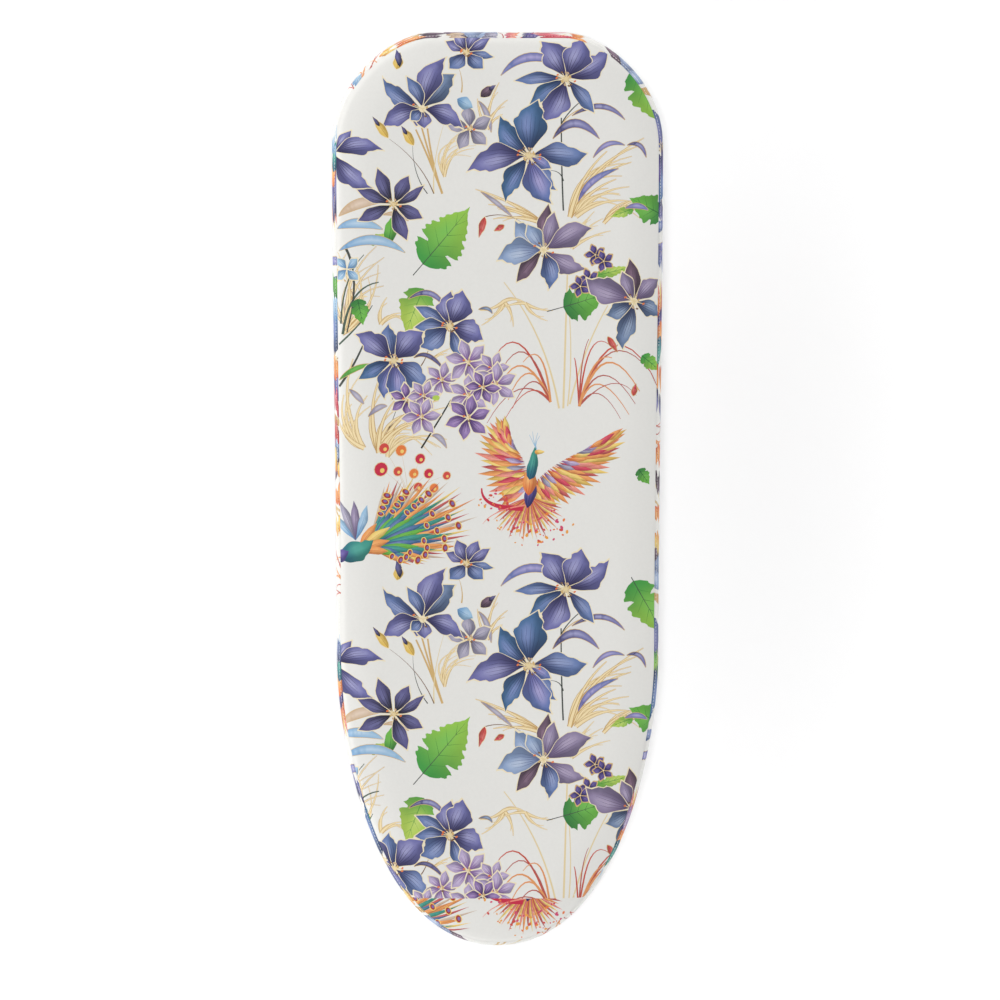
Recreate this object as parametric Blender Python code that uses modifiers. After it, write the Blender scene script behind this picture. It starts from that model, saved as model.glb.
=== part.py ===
"""Tabletop ironing board with a fitted cloth cover, standing on its two folding U-shaped legs.

Metres, +Z up.  The origin lies on the table under the middle of the board.  The board's long way is Y:
the square end is at +Y and the rounded nose at -Y.
"""
import math

import bmesh
import bpy
from mathutils import Vector

# Outline of the covered board, one half of it (the other half is its mirror image).
BOARD_LENGTH = 0.870
WIDE_HALF_WIDTH = 0.156
NOSE_HALF_WIDTH = 0.152
END_FLAT_HALF = 0.062
SHOULDER_Y = 0.328
NOSE_START_Y = -0.159
SHOULDER_HANDLE_X = 0.0365
SHOULDER_HANDLE_Y = 0.062
NOSE_HANDLE_Y = 0.0755
NOSE_HANDLE_X = 0.1185
END_FLAT_STEPS = 2
SHOULDER_STEPS = 11
SIDE_STEPS = 7
NOSE_STEPS = 16

# Layers, from the table upwards: tube, sheet, felt, foam, cover.
COVER_TOP_Z = 0.175
GAP = 0.0003
COVER_THICK = 0.0012
FOAM_THICK = 0.006
FELT_THICK = 0.0025
SHEET_THICK = 0.001
TUBE_RADIUS = 0.007
EDGE_RADIUS = 0.013
PADDING_EDGE_GAP = 0.0006
FOAM_TOP_Z = COVER_TOP_Z - COVER_THICK - GAP
FOAM_BOTTOM_Z = FOAM_TOP_Z - FOAM_THICK
FELT_TOP_Z = FOAM_BOTTOM_Z - GAP
FELT_BOTTOM_Z = FELT_TOP_Z - FELT_THICK
SHEET_TOP_Z = FELT_BOTTOM_Z - GAP
SHEET_BOTTOM_Z = SHEET_TOP_Z - SHEET_THICK
TUBE_Z = SHEET_BOTTOM_Z - GAP - TUBE_RADIUS
TUBE_OFFSET = COVER_THICK + GAP + TUBE_RADIUS
SHEET_OFFSET = 0.003

# Hem of the cover, folded up and back over a round elastic.
HEM_OFFSET = 0.034
HEM_FLAP = 0.006
ELASTIC_RADIUS = 0.00125
HEM_BOTTOM_Z = TUBE_Z - TUBE_OFFSET
ELASTIC_Z = HEM_BOTTOM_Z + COVER_THICK + GAP + ELASTIC_RADIUS

# Cross rails: pressed channels, open upwards, between the two sides of the tube.
RAIL_WIDTH = 0.021
RAIL_WALL = 0.0012
RAIL_TOP_Z = SHEET_BOTTOM_Z - GAP
RAIL_BOTTOM_Z = TUBE_Z - 0.002
RAIL_END_GAP = 0.0008

# Legs.
WIDE_LEG_Y = 0.300
NOSE_LEG_Y = -0.235
LEG_HALF_SPREAD = 0.085
LEG_RADIUS = 0.006
LEG_BEND_RADIUS = 0.030
LEG_BEND_STEPS = 6
LEG_SPLAY = math.radians(8.0)
LEG_TOP_ABOVE_PIN = 0.008
FOOT_RADIUS = 0.009
FOOT_BORE_RADIUS = LEG_RADIUS + GAP
FOOT_HALF_LENGTH = 0.015
FOOT_X = 0.040
FOOT_EDGE = 0.0015

# Leg brackets and their pins.
BASE_HALF_LENGTH = 0.0175
BASE_THICK = 0.002
CHEEK_THICK = 0.002
CHEEK_CLEARANCE = 0.0004
BRACKET_HALF_DEPTH = 0.0095
CHEEK_EAR_RADIUS = 0.0065
PIN_BELOW_BASE = 0.0105
PIN_RADIUS = 0.0025
PIN_RUNNING_CLEARANCE = 0.00015
STOP_ABOVE_PIN = 0.0065
BASE_BOTTOM_Z = RAIL_BOTTOM_Z - GAP - BASE_THICK
PIN_Z = BASE_BOTTOM_Z - PIN_BELOW_BASE
LEG_LENGTH = (PIN_Z - FOOT_RADIUS) / math.cos(LEG_SPLAY)
CHEEK_INNER = LEG_RADIUS + CHEEK_CLEARANCE
CHEEK_OUTER = CHEEK_INNER + CHEEK_THICK

# Rivets.
RIVET_RADIUS = 0.0018
RIVET_HEAD_RADIUS = 0.0032
RIVET_HEAD_HEIGHT = 0.0014
RIVET_X = 0.0130
ROUND_STEPS = 16

# Clips that hold the folded legs.
CLIP_HALF_LENGTH = 0.010
CLIP_INNER_HALF = 0.0077
CLIP_WALL = 0.0018
CLIP_LIP = 0.0008
CLIP_ROOF = 0.0037
CLIP_DEPTH = 0.0085

# Swivelling hook at the square end.
HOOK_Y = 0.388
HOOK_WIRE_RADIUS = 0.00175
HOOK_SHOULDER_RADIUS = 0.0025
HOOK_BELOW_HEM = 0.0012
HOOK_REACH = 0.060
HOOK_BEND_RADIUS = 0.010
HOOK_Z = HEM_BOTTOM_Z - HOOK_BELOW_HEM - HOOK_WIRE_RADIUS
HOOK_EYE_RADIUS = HOOK_SHOULDER_RADIUS + PIN_RUNNING_CLEARANCE + HOOK_WIRE_RADIUS

# Colours: red, green, blue, roughness, metallic.
COAT = (0.70, 0.71, 0.72, 0.42, 0.0)
STEEL = (0.62, 0.62, 0.63, 0.34, 1.0)
CLOTH = (0.76, 0.75, 0.73, 0.85, 0.0)
FOAM = (0.88, 0.86, 0.78, 0.95, 0.0)
FELT = (0.55, 0.55, 0.54, 0.97, 0.0)
WHITE_ELASTIC = (0.80, 0.80, 0.78, 0.80, 0.0)
RUBBER = (0.045, 0.045, 0.048, 0.75, 0.0)
PLASTIC = (0.80, 0.80, 0.79, 0.45, 0.0)


def clear_scene():
    """Remove everything the file starts with."""
    for item in list(bpy.data.objects):
        bpy.data.objects.remove(item, do_unlink=True)


def make_collection(name):
    """Add a collection to the scene."""
    group = bpy.data.collections.new(name)
    bpy.context.scene.collection.children.link(group)
    return group


def make_material(name, look):
    """Plain Principled material from a colour, a roughness and a metallic value."""
    material = bpy.data.materials.new(name)
    material.use_nodes = True
    shader = material.node_tree.nodes["Principled BSDF"]
    shader.inputs["Base Color"].default_value = (look[0], look[1], look[2], 1.0)
    shader.inputs["Roughness"].default_value = look[3]
    shader.inputs["Metallic"].default_value = look[4]
    material.diffuse_color = (look[0], look[1], look[2], 1.0)
    return material


def add_part(name, mesh, look, smooth=True):
    """Link a mesh into the parts collection with a material of its own."""
    mesh.name = name
    mesh.materials.clear()
    mesh.materials.append(make_material(name, look))
    for face in mesh.polygons:
        face.use_smooth = smooth
    part = bpy.data.objects.new(name, mesh)
    PARTS.objects.link(part)
    return part


def mesh_from(builder):
    """Turn a filled bmesh into a mesh with its faces pointing out."""
    bmesh.ops.recalc_face_normals(builder, faces=builder.faces)
    mesh = bpy.data.meshes.new("mesh")
    builder.to_mesh(mesh)
    builder.free()
    return mesh


def bezier(start, first, second, end, steps):
    """Points and outward normals along one cubic curve, without its last point."""
    found = []
    for index in range(steps):
        t = index / steps
        s = 1.0 - t
        point = s ** 3 * start + 3 * s * s * t * first + 3 * s * t * t * second + t ** 3 * end
        slope = s * s * (first - start) + 2 * s * t * (second - first) + t * t * (end - second)
        normal = Vector((-slope.y, slope.x)).normalized()
        found.append((point, normal))
    return found


def half_outline():
    """Right half of the board from the middle of the square end to the tip of the nose."""
    top = BOARD_LENGTH / 2
    side_run = (SHOULDER_Y - NOSE_START_Y) / 3
    start = Vector((0.0, top))
    flat_end = Vector((END_FLAT_HALF, top))
    shoulder = Vector((WIDE_HALF_WIDTH, SHOULDER_Y))
    nose_start = Vector((NOSE_HALF_WIDTH, NOSE_START_Y))
    tip = Vector((0.0, -top))
    run = bezier(start, start.lerp(flat_end, 1 / 3), start.lerp(flat_end, 2 / 3), flat_end, END_FLAT_STEPS)
    run += bezier(flat_end, flat_end + Vector((SHOULDER_HANDLE_X, 0.0)),
                  shoulder + Vector((0.0, SHOULDER_HANDLE_Y)), shoulder, SHOULDER_STEPS)
    run += bezier(shoulder, shoulder - Vector((0.0, side_run)),
                  nose_start + Vector((0.0, side_run)), nose_start, SIDE_STEPS)
    run += bezier(nose_start, nose_start - Vector((0.0, NOSE_HANDLE_Y)),
                  tip + Vector((NOSE_HANDLE_X, 0.0)), tip, NOSE_STEPS)
    run.append((tip, Vector((0.0, -1.0))))
    return run


def outline(offset):
    """Closed loop of points, moved in from the board's edge by the offset."""
    right = [point - abs(offset) * outward(normal) for point, normal in HALF_OUTLINE]
    left = [Vector((-point.x, point.y)) for point in reversed(right[1:-1])]
    return right + left


def outward(normal):
    """Normal of the right half, turned to point away from the board."""
    return normal if normal.x > 0 or abs(normal.x) < 1e-6 and normal.y != 0 else -normal


def half_width_at(y, offset):
    """Half width of the offset outline at one place along the board."""
    right = [point - offset * outward(normal) for point, normal in HALF_OUTLINE]
    for upper, lower in zip(right, right[1:]):
        if lower.y <= y <= upper.y and upper.y > lower.y:
            share = (upper.y - y) / (upper.y - lower.y)
            return upper.x + (lower.x - upper.x) * share
    return 0.0


def arc(center, radius, start_deg, end_deg, steps):
    """Points (offset, z) on an arc of a cross-section, both ends included."""
    found = []
    for index in range(steps + 1):
        angle = math.radians(start_deg + (end_deg - start_deg) * index / steps)
        found.append((center[0] + radius * math.cos(angle), center[1] + radius * math.sin(angle)))
    return found


def loft_round_board(profile, closed):
    """Carry a cross-section of (offset, z) points round the board; an open one gets a flat cap at each end."""
    builder = bmesh.new()
    rings = []
    for offset, z in profile:
        rings.append([builder.verts.new((point.x, point.y, z)) for point in outline(offset)])
    pairs = list(zip(rings, rings[1:]))
    if closed:
        pairs.append((rings[-1], rings[0]))
    count = len(rings[0])
    for first, second in pairs:
        for index in range(count):
            after = (index + 1) % count
            builder.faces.new((first[index], first[after], second[after], second[index]))
    if not closed:
        builder.faces.new(rings[0])
        builder.faces.new(rings[-1])
    return mesh_from(builder)


def circle_profile(offset, z, radius, steps):
    """Round cross-section for a tube or a cord that runs round the board."""
    return arc((offset, z), radius, 0.0, 360.0, steps)[:-1]


def box(builder, low, high):
    """Add a closed box between two corners."""
    made = bmesh.ops.create_cube(builder, size=1.0)
    for vert in made["verts"]:
        for axis in range(3):
            vert.co[axis] = low[axis] if vert.co[axis] < 0 else high[axis]


def extrude_along_x(points, half_length):
    """Solid with a (y, z) outline and flat ends at plus and minus half its length."""
    builder = bmesh.new()
    near = [builder.verts.new((-half_length, y, z)) for y, z in points]
    far = [builder.verts.new((half_length, y, z)) for y, z in points]
    count = len(points)
    for index in range(count):
        after = (index + 1) % count
        builder.faces.new((near[index], near[after], far[after], far[index]))
    builder.faces.new(near)
    builder.faces.new(far)
    return mesh_from(builder)


def add_cutter(name, mesh, location, rotation=(0.0, 0.0, 0.0)):
    """Keep a Boolean's second object out of the way."""
    cutter = bpy.data.objects.new(name, mesh)
    CUTTERS.objects.link(cutter)
    cutter.location = location
    cutter.rotation_euler = rotation
    cutter.hide_render = True
    cutter.display_type = "WIRE"
    return cutter


def add_boolean(part, cutter, operation):
    """Join a cutter to the part or take it away."""
    modifier = part.modifiers.new(cutter.name, "BOOLEAN")
    modifier.operation = operation
    modifier.solver = "EXACT"
    modifier.object = cutter


def cylinder_mesh(radius, length):
    """Round cutter along Z, centred on its origin."""
    builder = bmesh.new()
    bmesh.ops.create_cone(builder, cap_ends=True, cap_tris=False, segments=ROUND_STEPS,
                          radius1=radius, radius2=radius, depth=length)
    return mesh_from(builder)


def box_mesh(low, high):
    """One box as a mesh."""
    builder = bmesh.new()
    box(builder, low, high)
    return mesh_from(builder)


def turned_part(name, profile, closed, look):
    """Piece turned about its own Z axis from (radius, height) points running down its outer side."""
    builder = bmesh.new()
    verts = [builder.verts.new((radius, 0.0, height)) for radius, height in profile]
    for first, second in zip(verts, verts[1:]):
        builder.edges.new((first, second))
    if closed:
        builder.edges.new((verts[-1], verts[0]))
    mesh = bpy.data.meshes.new(name)
    builder.to_mesh(mesh)
    builder.free()
    part = add_part(name, mesh, look)
    screw = part.modifiers.new("turn", "SCREW")
    screw.steps = ROUND_STEPS
    screw.render_steps = ROUND_STEPS
    screw.use_merge_vertices = True
    screw.merge_threshold = 0.00002
    screw.use_smooth_shade = True
    return part


def bent_wire_mesh(points, radius, sides):
    """Round bar along a path, as a closed mesh."""
    curve = bpy.data.curves.new("path", "CURVE")
    curve.dimensions = "3D"
    curve.bevel_depth = radius
    curve.bevel_resolution = sides // 2 - 2
    curve.use_fill_caps = True
    spline = curve.splines.new("POLY")
    spline.points.add(len(points) - 1)
    for point, target in zip(spline.points, points):
        point.co = (target[0], target[1], target[2], 1.0)
    holder = bpy.data.objects.new("path", curve)
    bpy.context.scene.collection.objects.link(holder)
    bpy.context.view_layer.update()
    evaluated = holder.evaluated_get(bpy.context.evaluated_depsgraph_get())
    mesh = bpy.data.meshes.new_from_object(evaluated)
    bpy.data.objects.remove(holder, do_unlink=True)
    builder = bmesh.new()
    builder.from_mesh(mesh)
    bmesh.ops.remove_doubles(builder, verts=builder.verts, dist=0.00001)
    return mesh_from(builder)


def padding_edge(top_z, bottom_z, steps):
    """Edge of one layer of padding, rounded to lie inside the cover's rounded edge."""
    radius = EDGE_RADIUS - COVER_THICK - PADDING_EDGE_GAP
    center = (EDGE_RADIUS, COVER_TOP_Z - EDGE_RADIUS)
    high = math.degrees(math.asin(min(1.0, (top_z - center[1]) / radius)))
    low = math.degrees(math.asin((bottom_z - center[1]) / radius))
    edge = arc(center, radius, 180.0 - high, 180.0 - low, steps)
    return [(edge[0][0], top_z)] + edge[1:]


def build_board():
    """The bent tube, the sheet on it, and the two layers of padding."""
    tube = circle_profile(TUBE_OFFSET, TUBE_Z, TUBE_RADIUS, 12)
    add_part("perimeter_tube", loft_round_board(tube, True), COAT)
    sheet = [(SHEET_OFFSET, SHEET_TOP_Z), (SHEET_OFFSET, SHEET_BOTTOM_Z)]
    add_part("mesh_sheet", loft_round_board(sheet, False), COAT, smooth=False)
    felt = padding_edge(FELT_TOP_Z, FELT_BOTTOM_Z, 1)
    add_part("felt_underlay", loft_round_board(felt, False), FELT, smooth=False)
    foam = padding_edge(FOAM_TOP_Z, FOAM_BOTTOM_Z, 4)
    add_part("foam_pad", loft_round_board(foam, False), FOAM)


def build_cover():
    """Cloth shell over the edge and under the tube, with its hem folded round the elastic."""
    center = (EDGE_RADIUS, COVER_TOP_Z - EDGE_RADIUS)
    tube = (TUBE_OFFSET, TUBE_Z)
    elastic = (HEM_OFFSET, ELASTIC_Z)
    inner_fold = ELASTIC_RADIUS + GAP
    outer_fold = inner_fold + COVER_THICK
    flap_end = HEM_OFFSET - HEM_FLAP
    profile = arc(center, EDGE_RADIUS, 90.0, 180.0, 4)
    profile += arc(tube, TUBE_OFFSET, 180.0, 270.0, 3)
    profile += arc(elastic, outer_fold, -90.0, 90.0, 4)
    profile += [(flap_end, ELASTIC_Z + outer_fold), (flap_end, ELASTIC_Z + inner_fold)]
    profile += arc(elastic, inner_fold, 90.0, -90.0, 3)
    profile += arc(tube, TUBE_OFFSET - COVER_THICK, 270.0, 180.0, 3)
    profile += arc(center, EDGE_RADIUS - COVER_THICK, 180.0, 90.0, 4)
    add_part("cover", loft_round_board(profile, False), CLOTH)
    cord = circle_profile(HEM_OFFSET, ELASTIC_Z, ELASTIC_RADIUS, 6)
    add_part("hem_elastic", loft_round_board(cord, True), WHITE_ELASTIC)


def build_rail(name, y, hole_xs):
    """Channel between the sides of the tube, its ends cut to the tube's run, with rivet holes in its floor."""
    half = RAIL_WIDTH / 2
    floor = RAIL_BOTTOM_Z + RAIL_WALL
    section = [(-half, RAIL_TOP_Z), (-half, RAIL_BOTTOM_Z), (half, RAIL_BOTTOM_Z), (half, RAIL_TOP_Z)]
    section += [(half - RAIL_WALL, RAIL_TOP_Z), (half - RAIL_WALL, floor)]
    section += [(RAIL_WALL - half, floor), (RAIL_WALL - half, RAIL_TOP_Z)]
    inner_offset = TUBE_OFFSET + TUBE_RADIUS + RAIL_END_GAP
    builder = bmesh.new()
    left = []
    right = []
    for across, z in section:
        reach = half_width_at(y + across, inner_offset)
        left.append(builder.verts.new((-reach, across, z)))
        right.append(builder.verts.new((reach, across, z)))
    for index in range(len(section)):
        after = (index + 1) % len(section)
        builder.faces.new((left[index], left[after], right[after], right[index]))
    builder.faces.new(left)
    builder.faces.new(right)
    rail = add_part(name, mesh_from(builder), COAT, smooth=False)
    rail.location = (0.0, y, 0.0)
    for index, x in enumerate(hole_xs):
        hole = cylinder_mesh(RIVET_RADIUS + GAP, 4 * RAIL_WALL)
        cutter = add_cutter(name + "_hole_" + str(index), hole, (x, y, RAIL_BOTTOM_Z + RAIL_WALL / 2))
        add_boolean(rail, cutter, "DIFFERENCE")
    return rail


def build_rivet(name, x, y, grip_bottom):
    """Rivet from the rail's floor down to the underside of what it holds."""
    top = RAIL_BOTTOM_Z + RAIL_WALL + GAP
    bottom = grip_bottom - GAP
    crown = 0.6 * RIVET_HEAD_RADIUS
    profile = [(0.0, top + RIVET_HEAD_HEIGHT), (crown, top + RIVET_HEAD_HEIGHT)]
    profile += [(RIVET_HEAD_RADIUS, top), (RIVET_RADIUS, top), (RIVET_RADIUS, bottom)]
    profile += [(RIVET_HEAD_RADIUS, bottom), (crown, bottom - RIVET_HEAD_HEIGHT), (0.0, bottom - RIVET_HEAD_HEIGHT)]
    rivet = turned_part(name, profile, False, STEEL)
    rivet.location = (x, y, 0.0)


def build_bracket(name, x, y, inward):
    """Clevis with a riveted base, two cheeks and a tab that stops the leg when it stands."""
    ears = arc((0.0, -PIN_BELOW_BASE), CHEEK_EAR_RADIUS, 180.0, 360.0, 6)
    outer = [(-BRACKET_HALF_DEPTH, 0.0)] + ears + [(BRACKET_HALF_DEPTH, 0.0)]
    bracket = add_part(name, extrude_along_x(outer, CHEEK_OUTER), COAT, smooth=False)
    place = (x, y, BASE_BOTTOM_Z)
    bracket.location = place
    base = box_mesh((-BASE_HALF_LENGTH, -BRACKET_HALF_DEPTH, 0.0), (BASE_HALF_LENGTH, BRACKET_HALF_DEPTH, BASE_THICK))
    add_boolean(bracket, add_cutter(name + "_base", base, place), "UNION")
    past = 2 * BRACKET_HALF_DEPTH
    slot_top = STOP_ABOVE_PIN - PIN_BELOW_BASE
    slot = box_mesh((-CHEEK_INNER, -past, -past), (CHEEK_INNER, past, slot_top))
    add_boolean(bracket, add_cutter(name + "_slot", slot, place), "DIFFERENCE")
    stop_face = LEG_RADIUS * math.cos(LEG_SPLAY) + LEG_TOP_ABOVE_PIN * math.sin(LEG_SPLAY) + GAP
    ends = sorted((inward * stop_face, -inward * past))
    pocket = box_mesh((-CHEEK_INNER, ends[0], slot_top - BASE_THICK), (CHEEK_INNER, ends[1], 0.0))
    add_boolean(bracket, add_cutter(name + "_pocket", pocket, place), "DIFFERENCE")
    pin_hole = cylinder_mesh(PIN_RADIUS + PIN_RUNNING_CLEARANCE, 4 * CHEEK_OUTER)
    turn = (0.0, math.pi / 2, 0.0)
    add_boolean(bracket, add_cutter(name + "_pin_hole", pin_hole, (x, y, PIN_Z), turn), "DIFFERENCE")
    for index, side in enumerate((-1, 1)):
        hole = cylinder_mesh(RIVET_RADIUS + GAP, 4 * BASE_THICK)
        spot = (x + side * RIVET_X, y, BASE_BOTTOM_Z + BASE_THICK / 2)
        add_boolean(bracket, add_cutter(name + "_rivet_hole_" + str(index), hole, spot), "DIFFERENCE")


def build_pin(name, x, y):
    """Headed pin across one bracket."""
    inner = CHEEK_OUTER + GAP
    outer = inner + RIVET_HEAD_HEIGHT
    head = 1.6 * PIN_RADIUS
    profile = [(0.0, outer), (0.7 * head, outer), (head, inner), (PIN_RADIUS, inner), (PIN_RADIUS, -inner)]
    profile += [(head, -inner), (0.7 * head, -outer), (0.0, -outer)]
    pin = turned_part(name, profile, False, STEEL)
    pin.location = (x, y, PIN_Z)
    pin.rotation_euler = (0.0, math.pi / 2, 0.0)


def leg_path():
    """Middle line of a U-shaped leg hanging from its pins."""
    inner = LEG_HALF_SPREAD - LEG_BEND_RADIUS
    bend_z = LEG_BEND_RADIUS - LEG_LENGTH
    right = [(LEG_HALF_SPREAD, 0.0, LEG_TOP_ABOVE_PIN)]
    for index in range(LEG_BEND_STEPS + 1):
        angle = math.pi / 2 * index / LEG_BEND_STEPS
        right.append((inner + LEG_BEND_RADIUS * math.cos(angle), 0.0, bend_z - LEG_BEND_RADIUS * math.sin(angle)))
    left = [(-x, y, z) for x, y, z in reversed(right)]
    return right + left


def build_leg(name, y, splay):
    """U-shaped leg with a pin hole near the top of each arm and two sleeves on its foot bar."""
    leg = add_part(name, bent_wire_mesh(leg_path(), LEG_RADIUS, 12), COAT)
    leg.location = (0.0, y, PIN_Z)
    leg.rotation_euler = (splay, 0.0, 0.0)
    for index, side in enumerate((-1, 1)):
        hole = cylinder_mesh(PIN_RADIUS + PIN_RUNNING_CLEARANCE, 4 * LEG_RADIUS)
        spot = (side * LEG_HALF_SPREAD, y, PIN_Z)
        cutter = add_cutter(name + "_hole_" + str(index), hole, spot, (0.0, math.pi / 2, 0.0))
        add_boolean(leg, cutter, "DIFFERENCE")
    inner = FOOT_HALF_LENGTH - FOOT_EDGE
    for suffix, side in (("left", -1), ("right", 1)):
        profile = [(FOOT_BORE_RADIUS, FOOT_HALF_LENGTH), (FOOT_RADIUS - FOOT_EDGE, FOOT_HALF_LENGTH)]
        profile += [(FOOT_RADIUS, inner), (FOOT_RADIUS, -inner)]
        profile += [(FOOT_RADIUS - FOOT_EDGE, -FOOT_HALF_LENGTH), (FOOT_BORE_RADIUS, -FOOT_HALF_LENGTH)]
        foot = turned_part(name + "_foot_" + suffix, profile, True, RUBBER)
        foot.parent = leg
        foot.location = (side * FOOT_X, 0.0, -LEG_LENGTH)
        foot.rotation_euler = (0.0, math.pi / 2, 0.0)


def build_clip(name, y):
    """Plastic clip under a rail, open downwards, that takes the foot bar of a folded leg."""
    top = RAIL_BOTTOM_Z - GAP
    roof = top - CLIP_ROOF
    tip = PIN_Z - 0.004
    outer = CLIP_INNER_HALF + CLIP_WALL
    lip = CLIP_INNER_HALF - CLIP_LIP
    right = [(outer, top), (outer, tip + CLIP_LIP), (lip + CLIP_LIP, tip), (lip, tip + CLIP_LIP)]
    right += [(CLIP_INNER_HALF, tip + 3 * CLIP_LIP), (CLIP_INNER_HALF, roof)]
    left = [(-across, z) for across, z in reversed(right)]
    clip = add_part(name, extrude_along_x(right + left, CLIP_HALF_LENGTH), PLASTIC, smooth=False)
    clip.location = (0.0, y, 0.0)
    hole = cylinder_mesh(RIVET_RADIUS + GAP, 4 * CLIP_ROOF)
    add_boolean(clip, add_cutter(name + "_hole", hole, (0.0, y, roof)), "DIFFERENCE")
    build_rivet(name + "_rivet", 0.0, y, roof)


def hook_path():
    """Middle line of the wire: a nearly closed eye, a straight shank and an open hook."""
    eye_steps = 14
    eye_open = math.radians(42.0)
    points = []
    for index in range(eye_steps + 1):
        angle = -math.pi / 2 + eye_open + (2 * math.pi - eye_open) * index / eye_steps
        points.append((HOOK_EYE_RADIUS * math.cos(angle), HOOK_EYE_RADIUS * math.sin(angle), 0.0))
    shank_start = HOOK_EYE_RADIUS + 0.5 * HOOK_EYE_RADIUS
    points.append((0.0, -shank_start - HOOK_WIRE_RADIUS, 0.0))
    points.append((0.0, -HOOK_REACH, 0.0))
    for index in range(1, 9):
        angle = math.radians(25.0 * index)
        across = HOOK_BEND_RADIUS * (1.0 - math.cos(angle))
        along = HOOK_BEND_RADIUS * math.sin(angle)
        points.append((across, -HOOK_REACH - along, 0.0))
    return points


def build_hook():
    """Wire hook that swivels below the square end, and the shouldered rivet that carries it."""
    top = RAIL_BOTTOM_Z + RAIL_WALL + GAP
    shoulder = RAIL_BOTTOM_Z - GAP
    bottom = HOOK_Z - HOOK_WIRE_RADIUS - GAP
    head = HOOK_EYE_RADIUS + HOOK_WIRE_RADIUS
    crown = 0.6 * RIVET_HEAD_RADIUS
    collar = HOOK_Z + HOOK_WIRE_RADIUS + GAP
    profile = [(0.0, top + RIVET_HEAD_HEIGHT), (crown, top + RIVET_HEAD_HEIGHT), (RIVET_HEAD_RADIUS, top)]
    profile += [(RIVET_RADIUS, top), (RIVET_RADIUS, shoulder), (head, shoulder), (head, collar)]
    profile += [(HOOK_SHOULDER_RADIUS, collar), (HOOK_SHOULDER_RADIUS, bottom), (head, bottom)]
    profile += [(0.7 * head, bottom - RIVET_HEAD_HEIGHT), (0.0, bottom - RIVET_HEAD_HEIGHT)]
    post = turned_part("hook_post", profile, False, STEEL)
    post.location = (0.0, HOOK_Y, 0.0)
    hook = add_part("hanging_hook", bent_wire_mesh(hook_path(), HOOK_WIRE_RADIUS, 8), STEEL)
    hook.location = (0.0, HOOK_Y, HOOK_Z)


def build_leg_station(side_name, y, inward):
    """One leg with its rail, brackets, pins and rivets, and the rail and clip that hold it folded."""
    rivet_xs = []
    for side in (-1, 1):
        rivet_xs += [side * LEG_HALF_SPREAD - RIVET_X, side * LEG_HALF_SPREAD + RIVET_X]
    build_rail("rail_" + side_name + "_leg", y, rivet_xs)
    for index, x in enumerate(rivet_xs):
        build_rivet("rivet_" + side_name + "_" + str(index + 1), x, y, BASE_BOTTOM_Z)
    for label, side in (("left", -1), ("right", 1)):
        ending = side_name + "_" + label
        build_bracket("bracket_" + ending, side * LEG_HALF_SPREAD, y, inward)
        build_pin("pin_" + ending, side * LEG_HALF_SPREAD, y)
    build_leg("leg_" + side_name, y, -inward * LEG_SPLAY)
    folded_y = y + inward * LEG_LENGTH
    build_rail("rail_" + side_name + "_clip", folded_y, [0.0])
    build_clip("clip_" + side_name, folded_y)


clear_scene()
PARTS = make_collection("tabletop_ironing_board")
CUTTERS = make_collection("cutters")
HALF_OUTLINE = half_outline()
build_board()
build_cover()
build_leg_station("wide", WIDE_LEG_Y, -1)
build_leg_station("nose", NOSE_LEG_Y, 1)
build_rail("rail_hook", HOOK_Y, [0.0])
build_hook()
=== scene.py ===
"""Looks of the tabletop ironing board: printed cloth cover, padding, steel mesh, folding legs and hook.

Metres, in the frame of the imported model: the board's long way is Y, its square end is at +Y and it stands on
Z = 0.  The printed pattern is drawn in millimetres and laid on the cloth in metres.
"""
import math

import bmesh
import bpy
import numpy as np
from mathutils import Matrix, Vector, geometry, kdtree


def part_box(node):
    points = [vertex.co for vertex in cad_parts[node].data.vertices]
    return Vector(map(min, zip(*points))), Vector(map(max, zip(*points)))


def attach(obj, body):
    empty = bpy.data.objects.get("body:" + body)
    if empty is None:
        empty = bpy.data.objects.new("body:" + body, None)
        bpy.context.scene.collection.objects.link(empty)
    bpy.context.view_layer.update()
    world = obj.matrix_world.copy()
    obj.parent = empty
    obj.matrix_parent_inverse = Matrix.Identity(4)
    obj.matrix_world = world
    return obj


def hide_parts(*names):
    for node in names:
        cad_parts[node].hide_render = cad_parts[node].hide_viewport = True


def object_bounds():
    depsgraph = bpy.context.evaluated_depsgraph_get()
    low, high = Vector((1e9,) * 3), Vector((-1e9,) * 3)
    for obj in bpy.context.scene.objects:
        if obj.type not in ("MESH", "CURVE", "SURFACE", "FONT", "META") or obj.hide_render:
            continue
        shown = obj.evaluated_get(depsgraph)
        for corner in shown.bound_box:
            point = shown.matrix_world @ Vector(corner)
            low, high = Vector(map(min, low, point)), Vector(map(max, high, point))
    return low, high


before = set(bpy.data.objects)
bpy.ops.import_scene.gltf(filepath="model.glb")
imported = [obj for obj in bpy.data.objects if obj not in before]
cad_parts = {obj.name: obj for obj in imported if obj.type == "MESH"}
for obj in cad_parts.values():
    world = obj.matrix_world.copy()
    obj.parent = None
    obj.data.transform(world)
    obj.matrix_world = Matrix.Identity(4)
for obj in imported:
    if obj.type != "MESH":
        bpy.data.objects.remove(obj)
CAD_LOW, CAD_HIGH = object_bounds()

MM = 0.001

# Outline of the covered board (right half), as the design gives it.
HALF_LENGTH = CAD_HIGH.y
WIDE_HALF_WIDTH = CAD_HIGH.x
NOSE_HALF_WIDTH = 0.152
END_FLAT_HALF = 0.062
SHOULDER_Y = 0.328
NOSE_START_Y = -0.159
SHOULDER_HANDLE = (0.0365, 0.062)
NOSE_HANDLE = (0.1185, 0.0755)
OUTLINE_SAMPLES = 4800

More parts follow.
